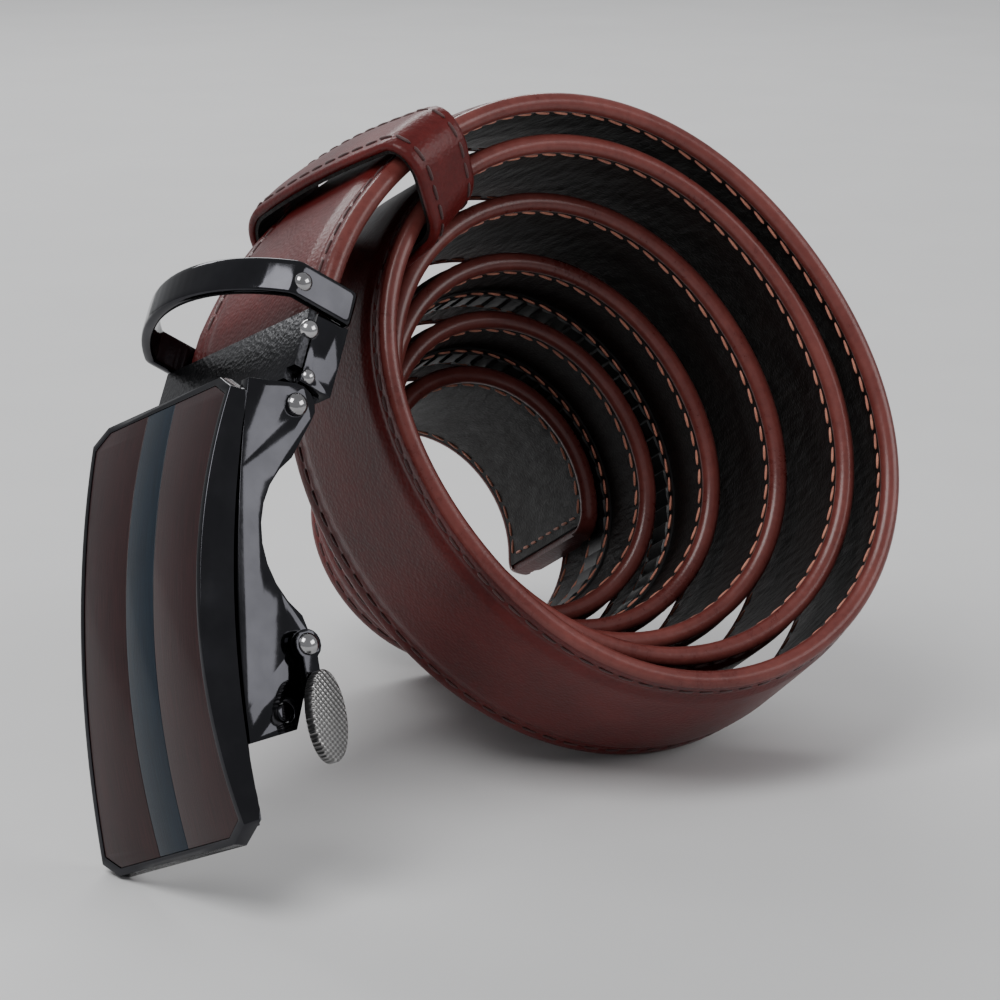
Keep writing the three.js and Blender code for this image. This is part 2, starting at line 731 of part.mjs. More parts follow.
// ---- Strap clamp and tail loop ---------------------------------------------------------------------

const strapUnder = -clamp.strapDrop + innerFace;
const strapOver = -clamp.strapDrop + outerFace + strap.crown;
const clampInner = strap.width / 2 + gap * 0.7;
const clampOuter = clampInner + clamp.wall;
const plateTop = strapUnder - gap;
const plateBottom = plateTop - clamp.plate;
const jawUnder = strapOver + gap;

const addClampBody = (parent) => {
  const between = earInner - gap;
  const barrel = rod(0, 0, clamp.barrel, -between, between);
  const webShape = outline([
    [-0.6, -clamp.barrel + 0.2],
    [clamp.seam + 1, plateBottom],
    [clamp.seam + 1, plateTop],
    [1.8, -1.6],
  ]);
  const web = prism(webShape, "x", -between, between);
  const plate = box(-clampOuter, clampOuter, clamp.seam, clampEnd, plateBottom, plateTop);
  const wall = (x0, x1) => box(x0, x1, clamp.seam, clampEnd, plateBottom, jawUnder - gap);
  const body = joined(barrel, web, plate, wall(clampInner, clampOuter), wall(-clampOuter, -clampInner));
  const jawBore = rod(clamp.jawPinAlong, -clamp.jawPinDrop, pin.jaw + film, -clampOuter - 1, clampOuter + 1);
  const hingeBore = rod(0, 0, pin.hinge + pin.running, -clampOuter, clampOuter);
  const headBottom = plateBottom + clamp.screwSunk;
  const headTop = headBottom + clamp.screwHeight;
  const sides = { clamp_screw_front: 1, clamp_screw_back: -1 };
  const headCircle = (side, radius) => circle(side * clamp.screwAcross, clamp.screwAlong, radius);
  const recesses = Object.values(sides).map((side) => {
    return prism(headCircle(side, clamp.screwHead + film), "z", plateBottom - 1, headTop + film);
  });
  piece(parent, "clamp_body", cut(body, hingeBore, jawBore, ...recesses), satinGunmetal);
  const reach = clampOuter - 0.2;
  piece(parent, "jaw_pin", rod(clamp.jawPinAlong, -clamp.jawPinDrop, pin.jaw, -reach, reach), steel);
  for (const [name, side] of Object.entries(sides)) {
    piece(parent, name, prism(headCircle(side, clamp.screwHead), "z", headBottom, headTop), steel);
  }
};

const addJaw = (parent) => {
  const between = earInner - gap;
  const start = clamp.seam + gap;
  const shoulder = clamp.seam + clamp.jawShoulder;
  const plate = box(-clampOuter, clampOuter, shoulder, clampEnd, jawUnder, jawUnder + clamp.jaw);
  const tongue = box(-between, between, start, shoulder + 1, jawUnder, jawUnder + clamp.jaw);
  const knuckle = rod(clamp.jawPinAlong, -clamp.jawPinDrop, clamp.knuckle, -between, between);
  const neck = box(-between, between, start, clamp.jawPinAlong + 1, -0.4, jawUnder + 0.4);
  const bore = rod(clamp.jawPinAlong, -clamp.jawPinDrop, pin.jaw + pin.running, -clampOuter, clampOuter);
  piece(parent, "clamp_jaw", cut(joined(plate, tongue, knuckle, neck), bore), satinGunmetal);
};

const addTailLoop = (parent) => {
  const archShape = (halfWidth, low, corner) => {
    const centre = loop.legHeight + loop.archRise - archRadius;
    const radius = archRadius - (outerHalf - halfWidth);
    const shape = new THREE.Shape();
    shape.moveTo(-halfWidth, low + corner);
    shape.lineTo(-halfWidth + corner, low);
    shape.lineTo(halfWidth - corner, low);
    shape.lineTo(halfWidth, low + corner);
    const turn = Math.acos(halfWidth / radius);
    shape.absarc(0, centre, radius, turn, Math.PI - turn, false);
    return shape;
  };
  const outerHalf = clampInner + gap + loop.wall;
  const archRadius = (outerHalf ** 2 + loop.archRise ** 2) / (2 * loop.archRise);
  const shape = archShape(outerHalf, plateTop - loop.wall, 0.8);
  shape.holes.push(archShape(outerHalf - loop.wall, plateTop, 0.4));
  piece(parent, "tail_loop", prism(shape, "y", clampEnd + gap, loopEnd, 10), gunmetal);
};

// ---- Assembly --------------------------------------------------------------------------------------

function piece(parent, name, geometry, material) {
  const mesh = new THREE.Mesh(geometry, material);
  mesh.name = name;
  parent.add(mesh);
  return mesh;
}

const placed = (parent, matrix) => {
  const group = new THREE.Group();
  group.applyMatrix4(matrix);
  parent.add(group);
  return group;
};

const belt = new THREE.Group();
const rolled = placed(belt, new THREE.Matrix4().makeRotationX(-leanBack));
addStrap(rolled);
addKeeper(rolled);

const buckleGroup = placed(rolled, bucklePlace);
addFace(buckleGroup);
addBase(buckleGroup);
addRelease(buckleGroup);

const clampGroup = placed(rolled, clampPlace);
addClampBody(clampGroup);
addJaw(clampGroup);
addTailLoop(clampGroup);

// Stand the belt on the table with the middle of its box over the origin.
const bounds = new THREE.Box3().setFromObject(belt, true);
const middle = bounds.getCenter(new THREE.Vector3());
rolled.position.sub(new THREE.Vector3(middle.x, middle.y, bounds.min.z));

export default belt;
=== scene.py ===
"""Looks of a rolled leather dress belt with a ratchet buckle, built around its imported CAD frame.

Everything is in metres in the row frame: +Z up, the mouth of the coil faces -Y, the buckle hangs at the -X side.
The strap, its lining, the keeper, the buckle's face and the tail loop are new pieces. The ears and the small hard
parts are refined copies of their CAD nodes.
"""

import json
import logging
import math
from dataclasses import dataclass
from enum import Enum
from typing import Callable, Iterable, Sequence

import bmesh
import bpy
import numpy as np
from mathutils import Matrix, Vector


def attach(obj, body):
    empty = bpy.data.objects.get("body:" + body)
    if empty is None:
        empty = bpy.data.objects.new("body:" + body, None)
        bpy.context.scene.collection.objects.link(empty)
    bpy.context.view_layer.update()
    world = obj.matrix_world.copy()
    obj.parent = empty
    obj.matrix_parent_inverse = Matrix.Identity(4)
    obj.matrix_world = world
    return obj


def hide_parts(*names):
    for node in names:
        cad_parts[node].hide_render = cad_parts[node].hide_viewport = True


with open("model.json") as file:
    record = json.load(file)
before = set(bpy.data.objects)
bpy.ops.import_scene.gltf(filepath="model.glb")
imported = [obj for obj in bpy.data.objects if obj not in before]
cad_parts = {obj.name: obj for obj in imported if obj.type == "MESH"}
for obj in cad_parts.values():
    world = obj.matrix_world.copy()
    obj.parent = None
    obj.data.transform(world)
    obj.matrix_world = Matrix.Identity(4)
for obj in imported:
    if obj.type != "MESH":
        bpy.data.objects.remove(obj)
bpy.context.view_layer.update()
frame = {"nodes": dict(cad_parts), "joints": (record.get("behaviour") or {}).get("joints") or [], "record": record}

log = logging.getLogger("belt")
MM = 0.001
# Middle of the arc that the keeper slides on, in the coil's own frame, in millimetres.
KEEPER_CENTRE = (-6.3155, 10, 10.686)
Point = tuple[float, float]


# ---- Shader expressions ------------------------------------------------------------------------------


class Value:
    """A number socket that takes part in Python arithmetic by adding Math nodes."""

    def __init__(self, shader: "Shader", socket: bpy.types.NodeSocket) -> None:
        """Wraps an output socket of one shader."""
        self.shader = shader
        self.socket = socket

    def _math(self, operation: str, *operands: "Value | float") -> "Value":
        """Adds a Math node over the operands and returns its result."""
        inputs = {i: operand for i, operand in enumerate(operands)}
        return self.shader.value("ShaderNodeMath", {"operation": operation}, inputs)

    def __add__(self, other: "Value | float") -> "Value":
        """Sum of two values."""
        return self._math("ADD", self, other)

    __radd__ = __add__

    def __sub__(self, other: "Value | float") -> "Value":
        """Difference of two values."""
        return self._math("SUBTRACT", self, other)

    def __rsub__(self, other: float) -> "Value":
        """A number less this value."""
        return self._math("SUBTRACT", other, self)

    def __mul__(self, other: "Value | float") -> "Value":
        """Product of two values."""
        return self._math("MULTIPLY", self, other)

    __rmul__ = __mul__

    def __pow__(self, other: float) -> "Value":
        """This value raised to a power."""
        return self._math("POWER", self, other)

    def above(self, low: float, high: float) -> "Value":
        """Ramp from 0 at low to 1 at high, held at both ends.

        Args:
            low: input that gives 0.
            high: input that gives 1.

        Returns:
            The ramped value.
        """
        inputs = {"Value": self, "From Min": low, "From Max": high}
        return self.shader.value("ShaderNodeMapRange", {"clamp": True}, inputs)

    def sine(self) -> "Value":
        """Sine of this value in radians."""
        return self._math("SINE", self)

    def highest(self, other: "Value | float") -> "Value":
        """The larger of two values."""
        return self._math("MAXIMUM", self, other)


class Space(Enum):
    """Where a pattern is laid out."""

    OBJECT = "Object"
    UV = "UV"


class Shader:
    """A Principled material under construction."""

    def __init__(self, name: str) -> None:
        """Starts an empty Principled material of that name."""
        self.material = bpy.data.materials.new(name)
        self.material.use_nodes = True
        self.tree = self.material.node_tree
        self.surface = next(n for n in self.tree.nodes if n.type == "BSDF_PRINCIPLED")

    def node(self, kind: str, settings: dict, inputs: dict) -> bpy.types.Node:
        """Adds any node.

        Args:
            kind: the node's type.
            settings: attributes that are set before the sockets.
            inputs: socket name or index to a number, colour, vector, Value or socket.

        Returns:
            The new node.
        """
        made = self.tree.nodes.new(kind)
        for key, setting in settings.items():
            setattr(made, key, setting)
        for key, given in inputs.items():
            if isinstance(given, Value):
                self.tree.links.new(given.socket, made.inputs[key])
            elif isinstance(given, bpy.types.NodeSocket):
                self.tree.links.new(given, made.inputs[key])
            else:
                made.inputs[key].default_value = given
        return made

    def value(self, kind: str, settings: dict, inputs: dict, output: int | str = 0) -> Value:
        """Adds a node and wraps one of its outputs."""
        return Value(self, self.node(kind, settings, inputs).outputs[output])

    def place(self, space: Space, scale: Sequence[float] = (1, 1, 1)) -> bpy.types.NodeSocket:
        """Coordinates of a space in millimetres, divided by the size of a pattern.

        Args:
            space: object or UV coordinates.
            scale: repeats for each millimetre along each axis.

        Returns:
            The vector socket.
        """
        where = self.node("ShaderNodeTexCoord", {}, {}).outputs[space.value]
        factors = tuple(s / MM for s in scale)
        mapping = self.node("ShaderNodeMapping", {"vector_type": "POINT"}, {"Vector": where, "Scale": factors})
        return mapping.outputs[0]

    def noise(self, vector: bpy.types.NodeSocket, scale: float = 1, detail: float = 3, rough: float = 0.55) -> Value:
        """Fractal noise around 0.5."""
        inputs = {"Vector": vector, "Scale": scale, "Detail": detail, "Roughness": rough}
        return self.value("ShaderNodeTexNoise", {}, inputs)

    def cells(self, vector: bpy.types.NodeSocket, scale: float = 1, smooth: float = 0.4) -> Value:
        """Distance to the nearest cell point, rounded at the borders."""
        inputs = {"Vector": vector, "Scale": scale, "Smoothness": smooth}
        return self.value("ShaderNodeTexVoronoi", {"feature": "SMOOTH_F1"}, inputs)

    def blend(self, first: Sequence[float], second: Sequence[float], share: Value) -> bpy.types.NodeSocket:
        """Colour between two colours, by a share from 0 to 1."""
        inputs = {"Factor": share, 6: (*first, 1), 7: (*second, 1)}
        return self.node("ShaderNodeMix", {"data_type": "RGBA"}, inputs).outputs[2]

    def tint(self, colour: bpy.types.NodeSocket, second: Sequence[float], share: Value) -> bpy.types.NodeSocket:
        """A colour socket pulled towards a plain colour."""
        inputs = {"Factor": share, 6: colour, 7: (*second, 1)}
        return self.node("ShaderNodeMix", {"data_type": "RGBA"}, inputs).outputs[2]

    def feed(self, socket: str, given: "Value | bpy.types.NodeSocket") -> None:
        """Links something that varies into a socket of the surface."""
        source = given.socket if isinstance(given, Value) else given
        self.tree.links.new(source, self.surface.inputs[socket])

    def fix(self, **constants: float | Sequence[float]) -> None:
        """Sets plain values on the surface's own sockets; _ stands for a space."""
        for key, constant in constants.items():
            self.surface.inputs[key.replace("_", " ")].default_value = constant

    def relief(self, layers: Iterable[tuple[Value, float]]) -> None:
        """Chains bumps, each a height from 0 to 1 and its depth in millimetres."""
        normal = None
        for height, depth in layers:
            inputs = {"Height": height, "Strength": 1.0, "Distance": depth * MM}
            if normal is not None:
                inputs["Normal"] = normal
            normal = self.node("ShaderNodeBump", {}, inputs).outputs[0]
        self.feed("Normal", normal)


# ---- Finishes ----------------------------------------------------------------------------------------


@dataclass(frozen=True)
class Leather:
    """Smooth dyed leather with a fine grain, slow colour changes and a waxed sheen."""

    name: str
    dark: tuple[float, float, float]
    light: tuple[float, float, float]
    roughness: float = 0.36
    grain: float = 0.05
    coat: float = 0.06

    def build(self) -> bpy.types.Material:
        """Builds the material."""
        shader = Shader(self.name)
        where = shader.place(Space.OBJECT)
        cloud = shader.noise(where, 0.06, 4)
        mottle = shader.noise(where, 0.9, 3)
        grain = shader.cells(where, 1.7)
        pores = shader.noise(where, 5.5, 2)
        share = (cloud * 0.7 + mottle * 0.3).above(0.36, 0.64)
        shader.feed("Base Color", shader.blend(self.dark, self.light, share))
        shader.feed("Roughness", self.roughness + (mottle - 0.5) * 0.12 + (cloud - 0.5) * 0.16)
        shader.relief([(grain, self.grain), (pores, self.grain * 0.4), (cloud, 0.25)])
        shader.fix(Coat_Weight=self.coat, Coat_Roughness=0.24, Specular_IOR_Level=0.22)
        return shader.material


@dataclass(frozen=True)
class Lining:
    """Soft black lining leather, creased across the strap where the coil presses it together."""

    name: str
    colour: tuple[float, float, float]
    dusty: tuple[float, float, float]

    def build(self) -> bpy.types.Material:
        """Builds the material."""
        shader = Shader(self.name)
        along = shader.place(Space.UV, (1, 0.3, 1))
        folds = shader.noise(along, 0.6, 4, 0.6)
        creases = shader.cells(along, 0.7, 0.3)
        where = shader.place(Space.OBJECT)
        grain = shader.cells(where, 2.1)
        cloud = shader.noise(where, 0.12, 3)
        shader.feed("Base Color", shader.blend(self.colour, self.dusty, (cloud * 0.6 + folds * 0.4).above(0.4, 0.7)))
        shader.feed("Roughness", 0.56 + (folds - 0.5) * 0.2 + (cloud - 0.5) * 0.1)
        shader.relief([(folds, 0.3), (creases, 0.16), (grain, 0.06)])
        shader.fix(Specular_IOR_Level=0.26)
        return shader.material


@dataclass(frozen=True)
class Thread:
    """Twisted sewing thread."""

    name: str
    colour: tuple[float, float, float]
    shade: tuple[float, float, float]

    def build(self) -> bpy.types.Material:
        """Builds the material."""
        shader = Shader(self.name)
        where = shader.place(Space.OBJECT)
        fibre = shader.noise(where, 6, 2)
        cloud = shader.noise(where, 0.5, 2)
        shader.feed("Base Color", shader.blend(self.shade, self.colour, (fibre * 0.5 + cloud * 0.5).above(0.35, 0.6)))
        shader.relief([(fibre, 0.05)])
        shader.fix(Roughness=0.6, Sheen_Weight=0.2)
        return shader.material


@dataclass(frozen=True)
class Metal:
    """Dark plated metal, from mirror bright to satin, with faint handling marks."""

    name: str
    colour: tuple[float, float, float]
    roughness: float
    texture: float = 0.0
    marks: float = 0.05

    def build(self) -> bpy.types.Material:
        """Builds the material."""
        shader = Shader(self.name)
        where = shader.place(Space.OBJECT)
        smudge = shader.noise(where, 0.12, 4)
        fine = shader.noise(where, 4.5, 3)
        lighter = tuple(min(1, c * 1.35) for c in self.colour)
        shader.feed("Base Color", shader.blend(self.colour, lighter, smudge.above(0.4, 0.7)))
        shader.feed("Roughness", self.roughness + smudge.above(0.45, 0.75) * self.marks + (fine - 0.5) * 0.03)
        layers = [(smudge, 0.03)]
        if self.texture:
            layers.append((shader.cells(where, 1.4, 0.3), self.texture))
            layers.append((fine, self.texture * 0.5))
        shader.relief(layers)
        shader.fix(Metallic=1.0)
        return shader.material


@dataclass(frozen=True)
class Lacquer:
    """Dark lacquer over finely brushed metal: streaks run along the buckle under a hard clear coat."""

    name: str
    colour: tuple[float, float, float]
    streak: tuple[float, float, float]

    def build(self) -> bpy.types.Material:
        """Builds the material."""
        shader = Shader(self.name)
        along = shader.place(Space.UV, (5.5, 0.12, 1))
        streaks = shader.noise(along, 1, 4, 0.65)
        cloud = shader.noise(shader.place(Space.OBJECT), 0.1, 3)
        share = (streaks * 0.75 + cloud * 0.25).above(0.38, 0.66)
        shader.feed("Base Color", shader.blend(self.colour, self.streak, share))
        shader.feed("Roughness", 0.32 + (streaks - 0.5) * 0.2)
        shader.relief([(streaks, 0.02)])
        shader.fix(Coat_Weight=0.22, Coat_Roughness=0.1, Specular_IOR_Level=0.22)
        return shader.material


@dataclass(frozen=True)
class Plastic:
    """Moulded black plastic with a slight orange peel."""

    name: str
    colour: tuple[float, float, float]
    roughness: float

    def build(self) -> bpy.types.Material:
        """Builds the material."""
        shader = Shader(self.name)
        where = shader.place(Space.OBJECT)
        peel = shader.noise(where, 1.6, 2)
        wear = shader.noise(where, 0.3, 3)
        lighter = tuple(c * 1.8 for c in self.colour)
        shader.feed("Base Color", shader.blend(self.colour, lighter, wear.above(0.45, 0.7)))
        shader.feed("Roughness", self.roughness + (wear - 0.5) * 0.2)
        shader.relief([(peel, 0.03)])
        return shader.material


@dataclass(frozen=True)
class Knurled:
    """Polished metal rolled with two crossing sets of fine grooves, with painted highlight on the crests and painted
    shade in the grooves.
    """

    name: str
    colour: tuple[float, float, float]
    pitch: float = 0.85

    def build(self) -> bpy.types.Material:
        """Builds the material."""
        shader = Shader(self.name)
        where = shader.place(Space.UV)
        parts = shader.node("ShaderNodeSeparateXYZ", {}, {0: where})
        across, along = (Value(shader, parts.outputs[i]) for i in (0, 1))
        turn = 2 * math.pi / self.pitch
        crossing = ((across + along) * turn).sine() * 0.25 + ((across - along) * turn).sine() * 0.25 + 0.5
        # Painted highlight and shade: the colour is lighter on the crests and darker in the grooves, following the
        # relief.
        lighter = tuple(min(1, c * 2.4) for c in self.colour)
        shader.feed("Base Color", shader.blend(self.colour, lighter, crossing.above(0.3, 0.9)))
        shader.feed("Roughness", 0.42 - crossing * 0.16)
        shader.relief([(crossing, 0.22)])
        shader.fix(Metallic=1.0)
        return shader.material


class Finishes:
    """Every material of the belt, built once."""

    def __init__(self) -> None:
        """Builds the materials."""
        self.leather = Leather("oxblood_leather", (0.06, 0.0062, 0.006), (0.112, 0.0125, 0.0115)).build()
        # The edge leather is lighter and pinker than the face leather: a painted rim highlight along the rounded edges
        # and lips.
        self.edge = Leather("edge_leather_painted_rim_light", (0.1, 0.022, 0.019), (0.17, 0.045, 0.038), 0.3, 0.02, 0.3).build()
        self.lining = Lining("black_lining", (0.0042, 0.003, 0.0028), (0.0105, 0.0072, 0.0066)).build()
        self.salmon = Thread("salmon_thread", (0.66, 0.27, 0.18), (0.36, 0.12, 0.08)).build()
        self.maroon = Thread("maroon_thread", (0.06, 0.012, 0.011), (0.022, 0.005, 0.005)).build()
        self.gunmetal = Metal("gunmetal", (0.034, 0.034, 0.038), 0.08).build()
        self.satin = Metal("satin_gunmetal", (0.03, 0.03, 0.033), 0.3, 0.07).build()
        self.bright = Metal("bright_gunmetal", (0.34, 0.335, 0.34), 0.12).build()
        self.inlay = Lacquer("maroon_lacquer", (0.0115, 0.0026, 0.003), (0.03, 0.007, 0.0078)).build()
        self.stripe = Lacquer("navy_lacquer", (0.0018, 0.006, 0.0125), (0.005, 0.0155, 0.028)).build()
        self.plastic = Plastic("black_plastic", (0.009, 0.009, 0.0095), 0.38).build()
        self.knurl = Knurled("knurled_gunmetal", (0.16, 0.157, 0.155)).build()


# ---- Mesh helpers ------------------------------------------------------------------------------------


def deselect() -> None:
    """Leaves nothing selected or active."""
    if bpy.context.object and bpy.context.object.mode != "OBJECT":
        bpy.ops.object.mode_set(mode="OBJECT")
    bpy.ops.object.select_all(action="DESELECT")


def activate(obj: bpy.types.Object) -> None:
    """Selects one object alone and makes it active."""
    deselect()
    obj.select_set(True)
    bpy.context.view_layer.objects.active = obj


def edit(obj: bpy.types.Object, steps: Callable[[], None]) -> None:
    """Runs edit-mode operators on a whole mesh.

    Args:
        obj: the mesh object.
        steps: what to do once everything in it is selected.
    """
    activate(obj)
    bpy.ops.object.mode_set(mode="EDIT")
    bpy.ops.mesh.select_all(action="SELECT")
    steps()
    bpy.ops.object.mode_set(mode="OBJECT")


def tidy(obj: bpy.types.Object, distance: float = 1e-6) -> None:
    """Merges doubles and turns the faces outwards."""

    def steps() -> None:
        """Merge, then recalculate."""
        bpy.ops.mesh.remove_doubles(threshold=distance)
        bpy.ops.mesh.normals_make_consistent(inside=False)

    edit(obj, steps)


def smooth(obj: bpy.types.Object, degrees: float = 40) -> None:
    """Shades smoothly across edges flatter than an angle."""
    activate(obj)
    bpy.ops.object.shade_smooth_by_angle(angle=math.radians(degrees))


def apply(obj: bpy.types.Object, kind: str, **settings: object) -> None:
    """Adds a modifier of a kind and applies it.

    Args:
        obj: the mesh object.
        kind: the modifier's type.
        settings: its attributes.
    """
    activate(obj)
    modifier = obj.modifiers.new(kind.title(), kind)
    for key, setting in settings.items():
        setattr(modifier, key, setting)
    bpy.ops.object.modifier_apply(modifier=modifier.name)


def soften(obj: bpy.types.Object, width: float, segments: int = 2, angle: float = 30) -> None:
    """Rounds the sharp edges of a hard piece.

    Args:
        obj: the mesh object.
        width: of the rounding, in metres.
        segments: faces across the rounding.
        angle: degrees above which an edge is sharp.
    """
    apply(
        obj,
        "BEVEL",
        width=width,
        segments=segments,
        limit_method="ANGLE",
        angle_limit=math.radians(angle),
        harden_normals=False,
        use_clamp_overlap=True,
    )
    smooth(obj, angle + 10)


def grid(name: str, columns: int, rows: int) -> tuple[bpy.types.Object, np.ndarray]:
    """A grid primitive with its UV map.

    Args:
        name: of the object.
        columns: faces along its first direction.
        rows: faces along its second direction.

    Returns:
        The object, and each vertex's share from 0 to 1 along both directions.
    """
    deselect()
    bpy.ops.mesh.primitive_grid_add(x_subdivisions=columns, y_subdivisions=rows, size=1)
    obj = bpy.context.object
    obj.name = name
    obj.data.name = name
    shares = vertices(obj)[:, :2] + 0.5
    return obj, shares


def vertices(obj: bpy.types.Object) -> np.ndarray:
    """Vertex positions of a mesh as rows."""
    flat = np.zeros(len(obj.data.vertices) * 3)
    obj.data.vertices.foreach_get("co", flat)
    return flat.reshape(-1, 3)


def move_to(obj: bpy.types.Object, positions: np.ndarray) -> None:
    """Puts a mesh's vertices at those positions."""
    obj.data.vertices.foreach_set("co", positions.astype(np.float32).ravel())
    obj.data.update()


def set_uv(obj: bpy.types.Object, uv: np.ndarray) -> None:
    """Writes a UV map that gives each vertex one place.

    Args:
        obj: the mesh object.
        uv: a row for each vertex, in metres.
    """
    mesh = obj.data
    layer = mesh.uv_layers.active or mesh.uv_layers.new(name="UVMap")
    index = np.zeros(len(mesh.loops), dtype=np.int32)
    mesh.loops.foreach_get("vertex_index", index)
    layer.data.foreach_set("uv", uv[index].astype(np.float32).ravel())


def dress(obj: bpy.types.Object, *materials: bpy.types.Material) -> None:
    """Gives a piece its materials in slot order."""
    obj.data.materials.clear()
    for material in materials:
        obj.data.materials.append(material)


def ride(obj: bpy.types.Object, body: str, slot: str, *nodes: str) -> None:
    """Puts a finished piece on a body and hides the CAD nodes that it stands for."""
    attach(obj, body)
    if nodes:
        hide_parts(*nodes)
    log.info("%s on %s: %d faces", obj.name, body, len(obj.data.polygons))


def refined(name: str, node: str, width: float = 0.00018, angle: float = 30) -> bpy.types.Object:
    """A CAD node's shape with its facets merged and its edges rounded.

    Args:
        name: of the new piece.
        node: the CAD node.
        width: of the rounding, in metres.
        angle: degrees above which an edge is sharp.

    Returns:
        The new piece.
    """
    source = frame["nodes"][node]
    obj = bpy.data.objects.new(name, source.data.copy())
    bpy.context.scene.collection.objects.link(obj)
    tidy(obj, 2e-6)
    edit(obj, lambda: bpy.ops.mesh.dissolve_limited(angle_limit=math.radians(0.6)))
    soften(obj, width, 2, angle)
    return obj


# ---- Frames from the record --------------------------------------------------------------------------


def joint(name: str) -> tuple[Vector, Vector]:
    """Position and axis of a joint of the record."""
    found = next(j for j in frame["joints"] if j["name"] == name)
    return Vector(found["pos_m"]), Vector(found["axis"]).normalized()


def mount_axis(name: str) -> Vector:
    """Axis of a mount of the record."""
    found = next(m for m in frame["record"]["mounts"] if m["name"] == name)
    return Vector(found["axis"]).normalized()


def basis(origin: Vector, x: Vector, y: Vector, z: Vector) -> Matrix:
    """Matrix of a frame from its origin and axes."""
    turn = Matrix((x, y, z)).transposed().to_4x4()
    return Matrix.Translation(origin) @ turn


def coil_frame() -> Matrix:
    """Frame on the coil's axis at its mouth: y runs back along the axis."""
    turning_point, axis = joint("keeper_turn")
    x = Vector((1, 0, 0))
    frame_there = basis(turning_point, x, axis, x.cross(axis))
    return frame_there @ Matrix.Translation(Vector(KEEPER_CENTRE) * -MM)


def buckle_frame() -> Matrix:
    """Frame of the buckle's face: x to its front edge, y towards the hinge, z out of it."""
    pin, across = joint("buckle_hinge")
    along = -mount_axis("face_end")
    out = across.cross(along)
    return basis(pin - along * Face.hinge_along * MM + out * Face.hinge_drop * MM, across, along, out)


def clamp_frame() -> Matrix:
    """Frame on the hinge pin: y runs along the strap and z out of the clamp."""
    pin, across = joint("buckle_hinge")
    out = -mount_axis("clamp_back")
    return basis(pin, across, out.cross(across), out)


# ---- Path of the strap -------------------------------------------------------------------------------


